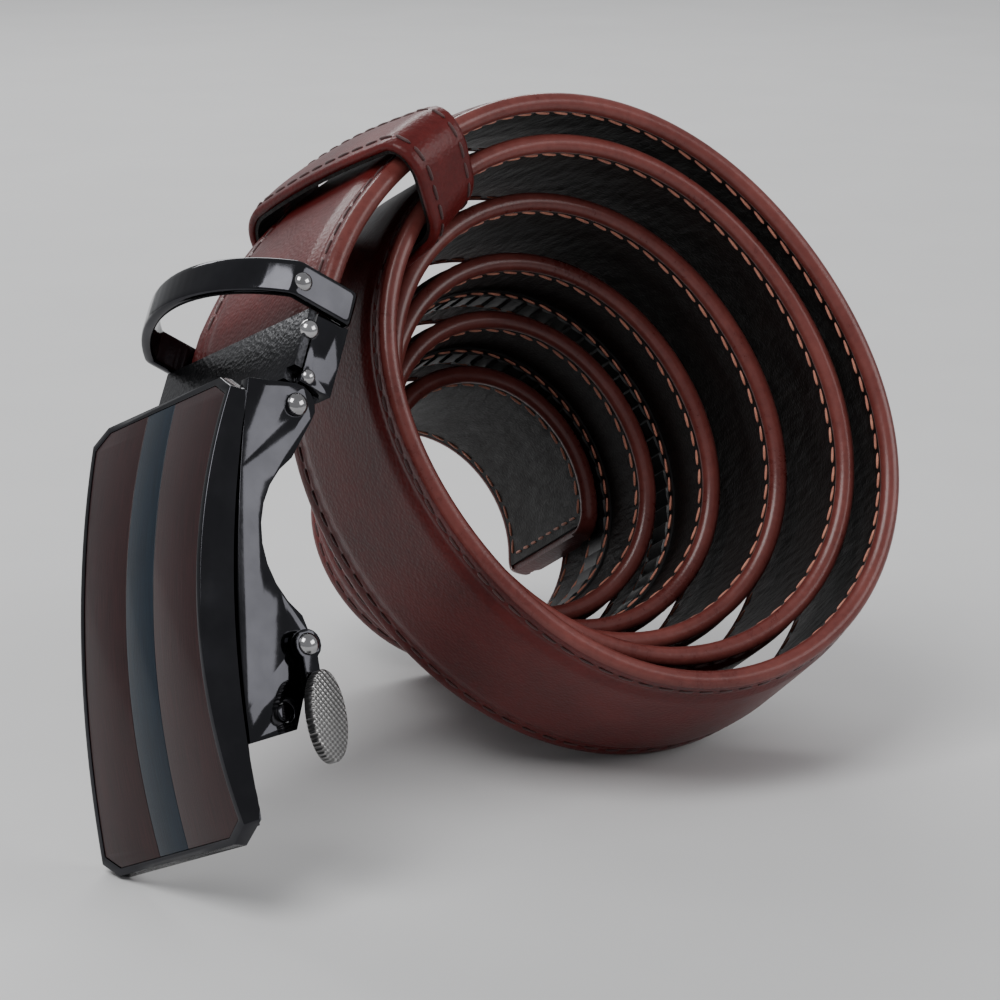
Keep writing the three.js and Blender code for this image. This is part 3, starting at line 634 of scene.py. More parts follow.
@dataclass
class CoilPath:
    """Route of the strap's front edge at mid thickness, in millimetres and degrees, as the CAD lays it."""

    width: float = 35
    tip_radius: float = 18.7
    turn_pitch: float = 4.94
    telescope_step: float = 14.6
    telescoped_turns: float = 4.28
    telescope_blend: float = 0.4
    tip_angle: float = -24
    end_angle: float = 1944
    tip_flare: float = 0.7
    tip_flare_angle: float = 70
    oval_start: float = 0.8
    oval_per_turn: float = 0.68
    oval_angle: float = 118
    rim_flare: float = 9
    advance: float = 3
    advance_start: float = 5
    bend_angle: float = 33
    bend_handle: float = 14
    clamp_depth: float = 20.9
    strap_drop: float = 1.5
    strap_stop: float = 7.1

    def __post_init__(self) -> None:
        """Samples the route densely and measures it along the strap's middle."""
        bend_start = self.end_angle - self.bend_angle
        angles = np.arange(self.tip_angle, bend_start + 0.5, 1.0)
        points, backs, outs = self._coil(angles)
        bend = self._bend(points[-1], points[-1] - points[-2], backs[-1])
        self.points, self.backs, self.outs = (np.concatenate(pair) for pair in zip((points, backs, outs), bend))
        middle = self.points + self.backs * self.width / 2 * MM
        steps = np.linalg.norm(np.diff(middle, axis=0), axis=1)
        self.reach = np.concatenate([[0], np.cumsum(steps)])
        radius = np.linalg.norm(points[-1] - np.array(coil_frame())[:3, 3])
        past = (self.reach[len(angles) :] - self.reach[len(angles) - 1]) / radius
        self.angles = np.concatenate([angles, bend_start + np.degrees(past)])

    @property
    def length(self) -> float:
        """Length of the strap in metres."""
        return float(self.reach[-1])

    def _coil(self, angles: np.ndarray) -> tuple[np.ndarray, np.ndarray, np.ndarray]:
        """Points, back directions and outward directions of the coiled part."""
        turn = np.radians(angles)
        turns = angles / 360
        oval = (self.oval_start + self.oval_per_turn * turns) * np.cos(2 * (turn - math.radians(self.oval_angle)))
        flare = self.tip_flare * np.exp((self.tip_angle - angles) / self.tip_flare_angle)
        radius = self.tip_radius + self.turn_pitch * turns + oval + flare
        left = self.telescoped_turns - turns
        set_back = self.telescope_step * (left + np.hypot(left, self.telescope_blend)) / 2
        last = self.end_angle / 360
        ahead = np.maximum(0, (turns - self.advance_start) / (last - self.advance_start))
        set_back = set_back - self.advance * ahead**2
        lean = math.radians(self.rim_flare) * np.maximum(0, angles / self.end_angle) ** 2
        outward = np.stack([np.cos(turn), np.zeros_like(turn), np.sin(turn)], 1)
        backward = np.array([0, 1, 0])
        points = outward * radius[:, None] + backward * set_back[:, None]
        cos, sin = np.cos(lean)[:, None], np.sin(lean)[:, None]
        place = np.array(coil_frame())
        to_world = place[:3, :3].T
        return (
            points * MM @ to_world + place[:3, 3],
            (backward * cos + outward * sin) @ to_world,
            (outward * cos - backward * sin) @ to_world,
        )

    def _bend(self, start: np.ndarray, leaving: np.ndarray, back: np.ndarray) -> tuple[np.ndarray, ...]:
        """The curve from the coil into the clamp, and the straight run inside the clamp."""
        clamp = np.array(clamp_frame())

        def inside(along: float) -> np.ndarray:
            """Front edge of the strap at a place along the clamp."""
            local = np.array([self.width / 2, along, -self.strap_drop]) * MM
            return clamp[:3, :3] @ local + clamp[:3, 3]

        end, stop = inside(self.clamp_depth + 1), inside(self.strap_stop)
        end_back, arriving = -clamp[:3, 0], clamp[:3, 1]
        leaving = leaving / np.linalg.norm(leaving)
        handles = [start, start + leaving * self.bend_handle * MM, end + arriving * self.bend_handle * MM, end]
        share = np.linspace(0, 1, 41)[1:, None]
        weights = [(1 - share) ** 3, 3 * (1 - share) ** 2 * share, 3 * (1 - share) * share**2, share**3]
        curve = sum(weight * handle for weight, handle in zip(weights, handles))
        straight = np.array([end + (stop - end) * step for step in (0.25, 0.5, 0.75, 1.0)])
        points = np.concatenate([curve, straight])
        tangents = np.gradient(np.concatenate([start[None], points]), axis=0)[1:]
        tangents /= np.linalg.norm(tangents, axis=1)[:, None]
        shares = np.concatenate([share[:, 0], np.ones(len(straight))])[:, None]
        backs = back * (1 - shares) + end_back * shares
        backs -= tangents * np.sum(backs * tangents, axis=1)[:, None]
        backs /= np.linalg.norm(backs, axis=1)[:, None]
        return points, backs, np.cross(backs, tangents)

    def place(self, along: np.ndarray, across: np.ndarray, above: np.ndarray) -> np.ndarray:
        """World points of places on the strap.

        Args:
            along: metres from the tip.
            across: millimetres from the front edge.
            above: millimetres outwards from the strap's middle.

        Returns:
            A row for each place, in metres.
        """
        point, back, out = (
            np.stack([np.interp(along, self.reach, rows[:, k]) for k in range(3)], 1)
            for rows in (self.points, self.backs, self.outs)
        )
        return point + back * (across * MM)[:, None] + out * (above * MM)[:, None]

    def at_angle(self, angle: float) -> float:
        """Metres from the tip at a coil angle."""
        return float(np.interp(angle, self.angles, self.reach))


def sweep(
    name: str,
    path: CoilPath,
    section: Sequence[Point],
    along: np.ndarray,
    narrow: Callable[[np.ndarray], np.ndarray],
    lift: Callable[[np.ndarray, np.ndarray, np.ndarray], np.ndarray] | None = None,
) -> bpy.types.Object:
    """Carries a closed section along the strap.

    Args:
        name: of the piece.
        path: the strap's route.
        section: corners as millimetres across and above, in order.
        along: metres from the tip at each ring.
        narrow: how far the edges come in at each place along, in millimetres.
        lift: extra millimetres above, from along, across and above.

    Returns:
        The closed piece, with metres along and around in its UV map.
    """
    rings, corners = len(along) - 1, len(section)
    obj, shares = grid(name, rings, corners)
    ring = np.rint(shares[:, 0] * rings).astype(int)
    corner = np.rint(shares[:, 1] * corners).astype(int)
    outline = np.array([*section, section[0]], float)
    around = np.concatenate([[0], np.cumsum(np.linalg.norm(np.diff(outline, axis=0), axis=1))]) * MM
    places, across, above = along[ring], outline[corner, 0], outline[corner, 1]
    if lift is not None:
        above = above + lift(places, across, above)
    middle = path.width / 2
    across = middle + (across - middle) * (1 - narrow(places) / middle)
    move_to(obj, path.place(places, across, above))
    set_uv(obj, np.stack([places, around[corner]], 1))

    def close() -> None:
        """Merges the seam, closes the ends and turns the faces out."""
        bpy.ops.mesh.remove_doubles(threshold=1e-7)
        bpy.ops.mesh.select_all(action="DESELECT")
        bpy.ops.mesh.select_non_manifold()
        bpy.ops.mesh.edge_face_add()
        bpy.ops.mesh.select_all(action="SELECT")
        bpy.ops.mesh.normals_make_consistent(inside=False)

    edit(obj, close)
    return obj


def stitch_shape(length: float, width: float, height: float) -> tuple[np.ndarray, np.ndarray]:
    """One stitch, a short rounded length of thread along x.

    Args:
        length: along the seam, in metres.
        width: across it.
        height: out of the leather.

    Returns:
        Its vertices, and its faces as rows of four with the poles repeated.
    """
    deselect()
    bpy.ops.mesh.primitive_uv_sphere_add(segments=8, ring_count=6, radius=0.5)
    obj = bpy.context.object
    bpy.ops.transform.rotate(value=math.pi / 2, orient_axis="Y", center_override=(0, 0, 0))
    bpy.ops.object.transform_apply()
    shape = vertices(obj)
    # Square the ball into a bolster, so that a stitch keeps its thickness almost to its ends.
    shape[:, 0] = np.sign(shape[:, 0]) * np.abs(shape[:, 0] * 2) ** 0.6 / 2
    shape *= (length, width, height)
    faces = np.array([[*f.vertices, *[f.vertices[-1]] * (4 - len(f.vertices))] for f in obj.data.polygons])
    bpy.data.objects.remove(obj)
    return shape, faces


def copies(
    name: str, shape: np.ndarray, faces: np.ndarray, places: np.ndarray, turns: np.ndarray
) -> bpy.types.Object:
    """One mesh that holds many copies of a small shape.

    Args:
        name: of the piece.
        shape: the shape's vertices.
        faces: its faces as rows of four, with a triangle's last corner repeated.
        places: a row for each copy.
        turns: a matrix for each copy, with its axes as columns.

    Returns:
        The new piece.
    """
    spread = np.einsum("nij,vj->nvi", turns, shape) + places[:, None, :]
    count = len(shape)
    polygons = [tuple(dict.fromkeys(int(v) for v in face)) for face in faces]
    listed = [tuple(v + i * count for v in polygon) for i in range(len(places)) for polygon in polygons]
    mesh = bpy.data.meshes.new(name)
    mesh.from_pydata(spread.reshape(-1, 3).tolist(), [], listed)
    mesh.update()
    obj = bpy.data.objects.new(name, mesh)
    bpy.context.scene.collection.objects.link(obj)
    activate(obj)
    bpy.ops.object.shade_smooth()
    return obj


# ---- Strap -------------------------------------------------------------------------------------------


@dataclass
class Strap:
    """The leather strap, its lining, its stitches and the ratchet track. Sizes in millimetres."""

    path: CoilPath
    finishes: Finishes
    thickness: float = 3.0
    crown: float = 0.52
    margin: float = 4.3
    ramp: float = 2.6
    seam: float = 2.9
    seam_depth: float = 0.22
    edge_radius: float = 1.25
    lip: float = 1.7
    lining_inset: float = 1.5
    lining_face: float = -1.38
    ring_step: float = 1.7
    stitch_pitch: float = 3.4
    stitch_length: float = 2.6
    stitch_width: float = 0.55
    stitch_height: float = 0.5
    tip_corner: float = 3.5
    tip_seam: float = 3.2
    track_start: float = 237.6
    track_end: float = 846.0
    track_width: float = 9.0
    track_height: float = 0.62
    track_pitch: float = 3.175

    def narrow(self, along: np.ndarray) -> np.ndarray:
        """How far the rounded tip corners bring the edges in, in millimetres."""
        left = np.clip(self.tip_corner - along / MM, 0, self.tip_corner)
        return self.tip_corner - np.sqrt(np.maximum(0, self.tip_corner**2 - left**2))

    def rings(self) -> np.ndarray:
        """Places along the strap: close together in the tip's corners, even elsewhere."""
        tip = self.tip_corner * (1 - np.cos(np.linspace(0, math.pi / 2, 8))) * MM
        count = int(self.path.length / (self.ring_step * MM))
        return np.concatenate([tip[:-1], np.linspace(self.tip_corner * MM, self.path.length, count)])

    def face_height(self, across: float) -> float:
        """Height of the outer face at a distance from the nearer edge."""
        rise = min(1.0, max(0.0, (across - self.margin) / self.ramp))
        eased = rise * rise * (3 - 2 * rise)
        middle = self.path.width / 2
        plump = 1 - ((middle - across) / middle) ** 2
        groove = self.seam_depth * math.exp(-(((across - self.seam) / 0.5) ** 2))
        foot = 0.12 * math.exp(-(((across - self.margin) / 0.45) ** 2))
        return self.thickness / 2 + eased * (self.crown * (0.8 + 0.2 * plump)) - groove - foot

    def leather_section(self) -> list[Point]:
        """Outline of the outer leather: lip, rounded edge, margin, padded middle and back."""
        half, radius = self.thickness / 2, self.edge_radius
        lower = [(self.lip, -half + 0.55), (self.lip, -half + 0.12), (self.lip - 0.2, -half)]
        arc = [math.radians(a) for a in range(270, 89, -15)]
        edge = [
            (radius + radius * math.cos(a), (half - 0.0) * math.sin(a) if radius > half else half * math.sin(a))
            for a in arc
        ]
        steps = [1.7, 2.1, 2.4, 2.65, 2.9, 3.15, 3.4, 3.7, 4.0, 4.3, 4.6, 5.0, 5.5, 6.0, 6.5, 7.0, 8.5, 11, 14]
        top = [(a, self.face_height(a)) for a in steps]
        front = [*lower, *edge, *top]
        mirrored = [(self.path.width - a, b) for a, b in reversed(front)]
        return [*front, (self.path.width / 2, self.face_height(self.path.width / 2)), *mirrored]

    def lining_section(self) -> list[Point]:
        """Outline of the lining between the turned edges, dipped along its seams."""
        low, high = self.lining_inset, self.path.width - self.lining_inset
        inner = []
        for across in np.linspace(low + 0.3, high - 0.3, 37):
            near = min(across, self.path.width - across)
            dip = 0.16 * math.exp(-(((near - self.seam) / 0.6) ** 2))
            inner.append((float(across), self.lining_face + dip))
        return [(low, -0.85), (low, self.lining_face + 0.2), *inner, (high, self.lining_face + 0.2), (high, -0.85)]

    def creases(self, along: np.ndarray, across: np.ndarray, above: np.ndarray) -> np.ndarray:
        """Low waves across the lining, where the coil presses it together."""
        place = along / MM
        wave = np.sin(place * 1.9 + 1.7 * np.sin(across * 0.31) + 0.9 * np.sin(place * 0.37))
        wave += 0.6 * np.sin(place * 3.1 + across * 0.45 + 2.2 * np.sin(place * 0.11))
        inward = above < -1
        near = np.minimum(across, self.path.width - across)
        return np.where(inward, 0.06 * wave * np.clip((near - 2) / 3, 0, 1), 0)

    def build(self) -> None:
        """Builds and dresses every piece of the strap."""
        along = self.rings()
        leather = sweep("strap_leather", self.path, self.leather_section(), along, self.narrow)
        smooth(leather, 50)
        dress(leather, self.finishes.leather, self.finishes.edge)
        self._mark_edges(leather)
        ride(leather, "strap", "oxblood_leather", "strap_upper", "strap_filler")

        inside = along[along > 1.2 * MM]
        lining = sweep("strap_lining_leather", self.path, self.lining_section(), inside, self.narrow, self.creases)
        smooth(lining, 60)
        dress(lining, self.finishes.lining)
        ride(lining, "strap", "black_lining", "strap_lining")
        self._seams()
        self._track()

    def _mark_edges(self, obj: bpy.types.Object) -> None:
        """Gives the rounded edges and turned lips the edge leather, whose lighter colour is a painted rim highlight.
        """
        mesh = obj.data
        layer = mesh.uv_layers.active.data
        outline = np.array(self.leather_section())
        lengths = np.linalg.norm(np.diff(np.vstack([outline, outline[:1]]), axis=0), axis=1)
        around = np.concatenate([[0], np.cumsum(lengths)])
        front = (outline[:, 0] < 1.0).nonzero()[0]
        back = (outline[:, 0] > self.path.width - 1.0).nonzero()[0]
        spans = [(around[0], around[front[-1]]), (around[back[0]], around[len(outline) - 1])]
        for polygon in mesh.polygons:
            v = sum(layer[i].uv[1] for i in polygon.loop_indices) / len(polygon.loop_indices) / MM
            polygon.material_index = int(any(low <= v <= high for low, high in spans))

    def _row(self, name: str, across: float, above: float, out: float, material: bpy.types.Material) -> None:
        """One row of stitches along the strap.

        Args:
            name: of the piece.
            across: millimetres from the front edge.
            above: height of the thread's middle.
            out: 1 on the outer face, -1 on the lining.
            material: the thread.
        """
        start, end = self.tip_seam + self.stitch_pitch / 2, self.path.length / MM - 17
        places = np.arange(start, end, self.stitch_pitch) * MM
        self._stitches(name, places, np.full(len(places), across), above, out, material, 0)

    def _stitches(
        self,
        name: str,
        places: np.ndarray,
        across: np.ndarray,
        above: float,
        out: float,
        material: bpy.types.Material,
        quarter: int,
    ) -> None:
        """Stitches at places on the strap, along it or, with quarter 1, across it."""
        shape, faces = stitch_shape(
            self.stitch_length * MM, self.stitch_width * MM, self.stitch_height * MM
        )
        level = np.full(len(places), above)
        here = self.path.place(places, across, level)
        ahead = self.path.place(places + 0.5 * MM, across, level) - here
        side = self.path.place(places, across + 1, level) - here
        if quarter:
            ahead, side = side, -ahead
        ahead /= np.linalg.norm(ahead, axis=1)[:, None]
        side -= ahead * np.sum(side * ahead, axis=1)[:, None]
        side /= np.linalg.norm(side, axis=1)[:, None]
        up = np.cross(ahead, side) * out
        # Each stitch is drawn down at one end and slants a little off the seam.
        slanted = ahead + 0.1 * side * out + 0.07 * up
        slanted /= np.linalg.norm(slanted, axis=1)[:, None]
        across_thread = np.cross(up, slanted)
        across_thread /= np.linalg.norm(across_thread, axis=1)[:, None]
        turns = np.stack([slanted, across_thread, np.cross(slanted, across_thread)], axis=2)
        obj = copies(name, shape, faces, here, turns)
        dress(obj, material)
        ride(obj, "strap", "oxblood_leather" if out > 0 else "black_lining")

    def _seams(self) -> None:
        """Stitches along both edges and across the tip, on the outer face and on the lining."""
        width = self.path.width
        outer = self.face_height(self.seam) + 0.1
        inner = self.lining_face + 0.02
        for side, across in (("front", self.seam), ("back", width - self.seam)):
            self._row(f"outer_stitches_{side}", across, outer, 1, self.finishes.maroon)
            self._row(f"lining_stitches_{side}", across, inner, -1, self.finishes.salmon)
        count = int((width - 2 * self.seam) / self.stitch_pitch)
        across = width / 2 + (np.arange(count) - (count - 1) / 2) * self.stitch_pitch
        places = np.full(count, self.tip_seam * MM)
        self._stitches("outer_stitches_tip", places, across, self.thickness / 2 + 0.3, 1, self.finishes.maroon, 1)
        self._stitches("lining_stitches_tip", places, across, inner, -1, self.finishes.salmon, 1)

    def _track(self) -> None:
        """The toothed ratchet track with a row of stitches along each side."""
        start, end = self.path.at_angle(self.track_start), self.path.at_angle(self.track_end)
        teeth = int((end - start) / (self.track_pitch * MM))
        steps = []
        for i in range(teeth):
            tooth = start + i * self.track_pitch * MM
            steps += [tooth, tooth + 0.42 * self.track_pitch * MM, tooth + 0.86 * self.track_pitch * MM]
        along = np.array([*steps, steps[-1] + self.track_pitch * MM * 0.14])
        low = (self.path.width - self.track_width) / 2
        face = -self.thickness / 2
        rows = [(low, face + 0.1), (low, face - 0.24), (low + 1.6, face - 0.28), (low + 1.8, face - self.track_height)]
        section = [*rows, *[(self.path.width - a, b) for a, b in reversed(rows)]]

        def teeth_lift(places: np.ndarray, across: np.ndarray, above: np.ndarray) -> np.ndarray:
            """Lowers the raised middle between the teeth."""
            raised = above < face - self.track_height + 0.05
            into = ((places - start) / MM) % self.track_pitch / self.track_pitch
            return np.where(raised & ((into < 0.2) | (into > 0.95)), 0.3, 0.0)

        track = sweep("track_strip", self.path, section, along, lambda a: np.zeros_like(a), teeth_lift)
        smooth(track, 25)
        dress(track, self.finishes.plastic)
        ride(track, "strap", "black_plastic", "ratchet_track")
        places = np.arange(start + 2 * MM, end - 2 * MM, self.stitch_pitch * MM)
        for side, across in (("front", low + 0.85), ("back", self.path.width - low - 0.85)):
            across_row = np.full(len(places), across)
            self._stitches(
                f"track_stitches_{side}", places, across_row, face - 0.3, -1, self.finishes.salmon, 0
            )


# ---- Rings -------------------------------------------------------------------------------------------


def rounded_outline(
    corners: Sequence[np.ndarray], radii: Sequence[float], count: int, share: float = 0.49
) -> tuple[np.ndarray, np.ndarray]:
    """Closed polygon with rounded corners, as evenly spaced points.

    Args:
        corners: anticlockwise corners.
        radii: one for each corner.
        count: points in all.
        share: most of an edge that one rounding may take.

    Returns:
        The points and their outward normals.
    """
    points, normals = [], []
    for i, corner in enumerate(corners):
        before = corner - corners[i - 1]
        after = corners[(i + 1) % len(corners)] - corner
        before, after = before / np.linalg.norm(before), after / np.linalg.norm(after)
        bend = math.atan2(before[0] * after[1] - before[1] * after[0], before @ after)
        edge = min(np.linalg.norm(corner - corners[i - 1]), np.linalg.norm(corners[(i + 1) % len(corners)] - corner))
        radius = min(radii[i], share * edge / math.tan(bend / 2))
        left = np.array([-before[1], before[0]])
        centre = corner - before * radius * math.tan(bend / 2) + left * radius
        for turn in np.linspace(0, bend, 24):
            cos, sin = math.cos(turn), math.sin(turn)
            normal = np.array([-left[0] * cos + left[1] * sin, -left[0] * sin - left[1] * cos])
            points.append(centre + normal * radius)
            normals.append(normal)
    closed, facing = np.array([*points, points[0]]), np.array([*normals, normals[0]])
    reach = np.concatenate([[0], np.cumsum(np.linalg.norm(np.diff(closed, axis=0), axis=1))])
    wanted = np.linspace(0, reach[-1], count, endpoint=False)
    even = np.stack([np.interp(wanted, reach, closed[:, k]) for k in range(2)], 1)
    normal = np.stack([np.interp(wanted, reach, facing[:, k]) for k in range(2)], 1)
    return even, normal / np.linalg.norm(normal, axis=1)[:, None]


def hull(points: Sequence[np.ndarray]) -> list[np.ndarray]:
    """Corners of the smallest convex outline round some flat points, anticlockwise."""
    ordered = sorted(points, key=lambda point: (point[0], point[1]))
    corners: list[np.ndarray] = []
    for run in (ordered, ordered[::-1]):
        side: list[np.ndarray] = []
        for point in run:
            while len(side) > 1:
                first, second = side[-1] - side[-2], point - side[-1]
                if first[0] * second[1] - first[1] * second[0] > 1e-3 * np.linalg.norm(first) * np.linalg.norm(second):
                    break
                side.pop()
            side.append(point)
        corners += side[:-1]
    return corners


def ring(
    name: str, profile: Sequence[Point], around: int, place: Callable[[float, float], np.ndarray]
) -> bpy.types.Object:
    """Carries a closed profile round a closed loop.

    Args:
        name: of the piece.
        profile: millimetres along the ring's axis and millimetres out of its outline.
        around: points round the loop.
        place: world points of the whole loop at one profile corner.

    Returns:
        The closed ring.
    """
    obj, shares = grid(name, around, len(profile))
    turn = np.rint(shares[:, 0] * around).astype(int)
    corner = np.rint(shares[:, 1] * len(profile)).astype(int)
    positions = np.zeros((len(turn), 3))
    for k, (along, grown) in enumerate(profile):
        chosen = corner % len(profile) == k
        positions[chosen] = place(along, grown)[turn[chosen] % around]
    move_to(obj, positions)
    set_uv(obj, np.stack([turn, corner], 1) * MM)
    tidy(obj, 1e-7)
    smooth(obj, 60)
    return obj


# ---- Keeper ------------------------------------------------------------------------------------------


@dataclass
class Keeper:
    """The leather loop around the last two turns. Sizes in millimetres."""

    path: CoilPath
    finishes: Finishes
    width: float = 13
    leather: float = 1.35
    lining: float = 0.6
    end_room: float = 1.3
    inner_room: float = 0.7
    outer_room: float = 0.6
    corner_radius: float = 5.2
    swell: float = 1.2
    from_end: float = 13
    crown: float = 0.5
    around: int = 150

    def _outline(self, angle: float) -> tuple[np.ndarray, np.ndarray, np.ndarray, np.ndarray]:
        """Inner outline of the loop in the plane across both turns at an angle.

        Args:
            angle: coil angle of the outer of the two turns.

        Returns:
            Points of the rounded outline, their outward normals, and the plane's two directions.
        """
        outer, inner = self.path.at_angle(angle), self.path.at_angle(angle - 360)
        origin = self.path.place(np.array([outer]), np.array([0.0]), np.array([0.0]))[0]
        back = self.path.place(np.array([outer]), np.array([1.0]), np.array([0.0]))[0] - origin
        out = self.path.place(np.array([outer]), np.array([0.0]), np.array([1.0]))[0] - origin
        back, out = back / np.linalg.norm(back), out / np.linalg.norm(out)

        along = np.cross(out, back)

        def flat(place: float, across: float, above: float) -> np.ndarray:
            """A place on one turn in the plane, in millimetres, moved along the turn until it meets the plane."""
            for _ in range(3):
                at = self.path.place(np.array([place]), np.array([across]), np.array([above]))[0] - origin
                place -= at @ along
            return np.array([at @ back, at @ out]) / MM

        under, over = -1.5 - self.inner_room, 1.5 + self.crown + self.outer_room
        ends = (-self.end_room, self.path.width + self.end_room)
        levels = {inner: (under, 1.5), outer: (-1.5, over)}
        corners = hull([flat(turn, end, level) for turn in levels for level in levels[turn] for end in ends])
        radii = [self.corner_radius] * len(corners)
        points, normals = rounded_outline(corners, radii, self.around)
        middle = (points[:, 0] - points[:, 0].min()) / np.ptp(points[:, 0])
        points[:, 1] += np.where(normals[:, 1] > 0, self.swell * np.sin(np.pi * middle), 0)
        return points, normals, origin, np.stack([back, out])

    def _angle(self, along: float) -> float:
        """Coil angle at a distance in millimetres from the keeper's middle."""
        middle = self.path.end_angle - self.from_end
        radius = self.path.tip_radius + self.path.turn_pitch * middle / 360
        return middle + math.degrees(along / radius)

    def _place(self, along: float, grown: float) -> np.ndarray:
        """World points round the keeper at one distance along it, grown out of its inner outline."""
        points, normals, origin, plane = self._outline(self._angle(along))
        return (points + normals * grown) * MM @ plane + origin

    def build(self) -> None:
        """Builds and dresses the keeper, its lining and its stitches."""
        half, lined = self.width / 2, self.lining + 0.05
        top = lined + self.leather
        crown = [(a, top + 0.22 * (1 - (a / half) ** 2)) for a in np.linspace(-half + 0.9, half - 0.9, 13)]
        for k, (along, grown) in enumerate(crown):
            groove = 0.2 * math.exp(-(((abs(along) - (half - 2.1)) / 0.4) ** 2))
            crown[k] = (along, grown - groove)
        profile = [
            (-half + 0.25, lined),
            (-half, lined + 0.3),
            (-half, top - 0.55),
            (-half + 0.3, top - 0.12),
            *crown,
            (half - 0.3, top - 0.12),
            (half, top - 0.55),
            (half, lined + 0.3),
            (half - 0.25, lined),
        ]
        loop = ring("keeper_leather", profile, self.around, self._place)
        dress(loop, self.finishes.leather)
        ride(loop, "keeper", "oxblood_leather", "keeper_loop")
        inner = half - 0.35
        inside = [(-inner, 0.05), (-inner, self.lining), (0, self.lining), (inner, self.lining), (inner, 0.05), (0, 0)]
        lining = ring("keeper_inside", inside, self.around, self._place)
        dress(lining, self.finishes.lining)
        ride(lining, "keeper", "black_lining", "keeper_lining")
        for side, along in (("lower", half - 2.1), ("upper", -half + 2.1)):
            self._stitches(f"keeper_stitches_{side}", along, top + 0.06)

    def _stitches(self, name: str, along: float, grown: float) -> None:
        """A row of stitches round the keeper."""
        points, normals, origin, plane = self._outline(self._angle(along))
        flat = (points + normals * grown) * MM
        closed = np.vstack([flat, flat[:1]])
        reach = np.concatenate([[0], np.cumsum(np.linalg.norm(np.diff(closed, axis=0), axis=1))])
        count = int(reach[-1] / (3.4 * MM))
        wanted = np.linspace(0, reach[-1], count, endpoint=False)
        at = np.stack([np.interp(wanted, reach, closed[:, k]) for k in range(2)], 1)
        after = np.stack([np.interp(wanted + 0.3 * MM, reach, closed[:, k]) for k in range(2)], 1)
        run = (after - at) @ plane
        run /= np.linalg.norm(run, axis=1)[:, None]
        side = np.cross(plane[0], plane[1])
        side = np.broadcast_to(side / np.linalg.norm(side), run.shape)
        turns = np.stack([run, side, np.cross(run, side)], axis=2)
        shape, faces = stitch_shape(2.7 * MM, 0.6 * MM, 0.55 * MM)
        obj = copies(name, shape, faces, at @ plane + origin, turns)
        dress(obj, self.finishes.maroon)
        ride(obj, "keeper", "oxblood_leather")


# ---- Buckle face -------------------------------------------------------------------------------------


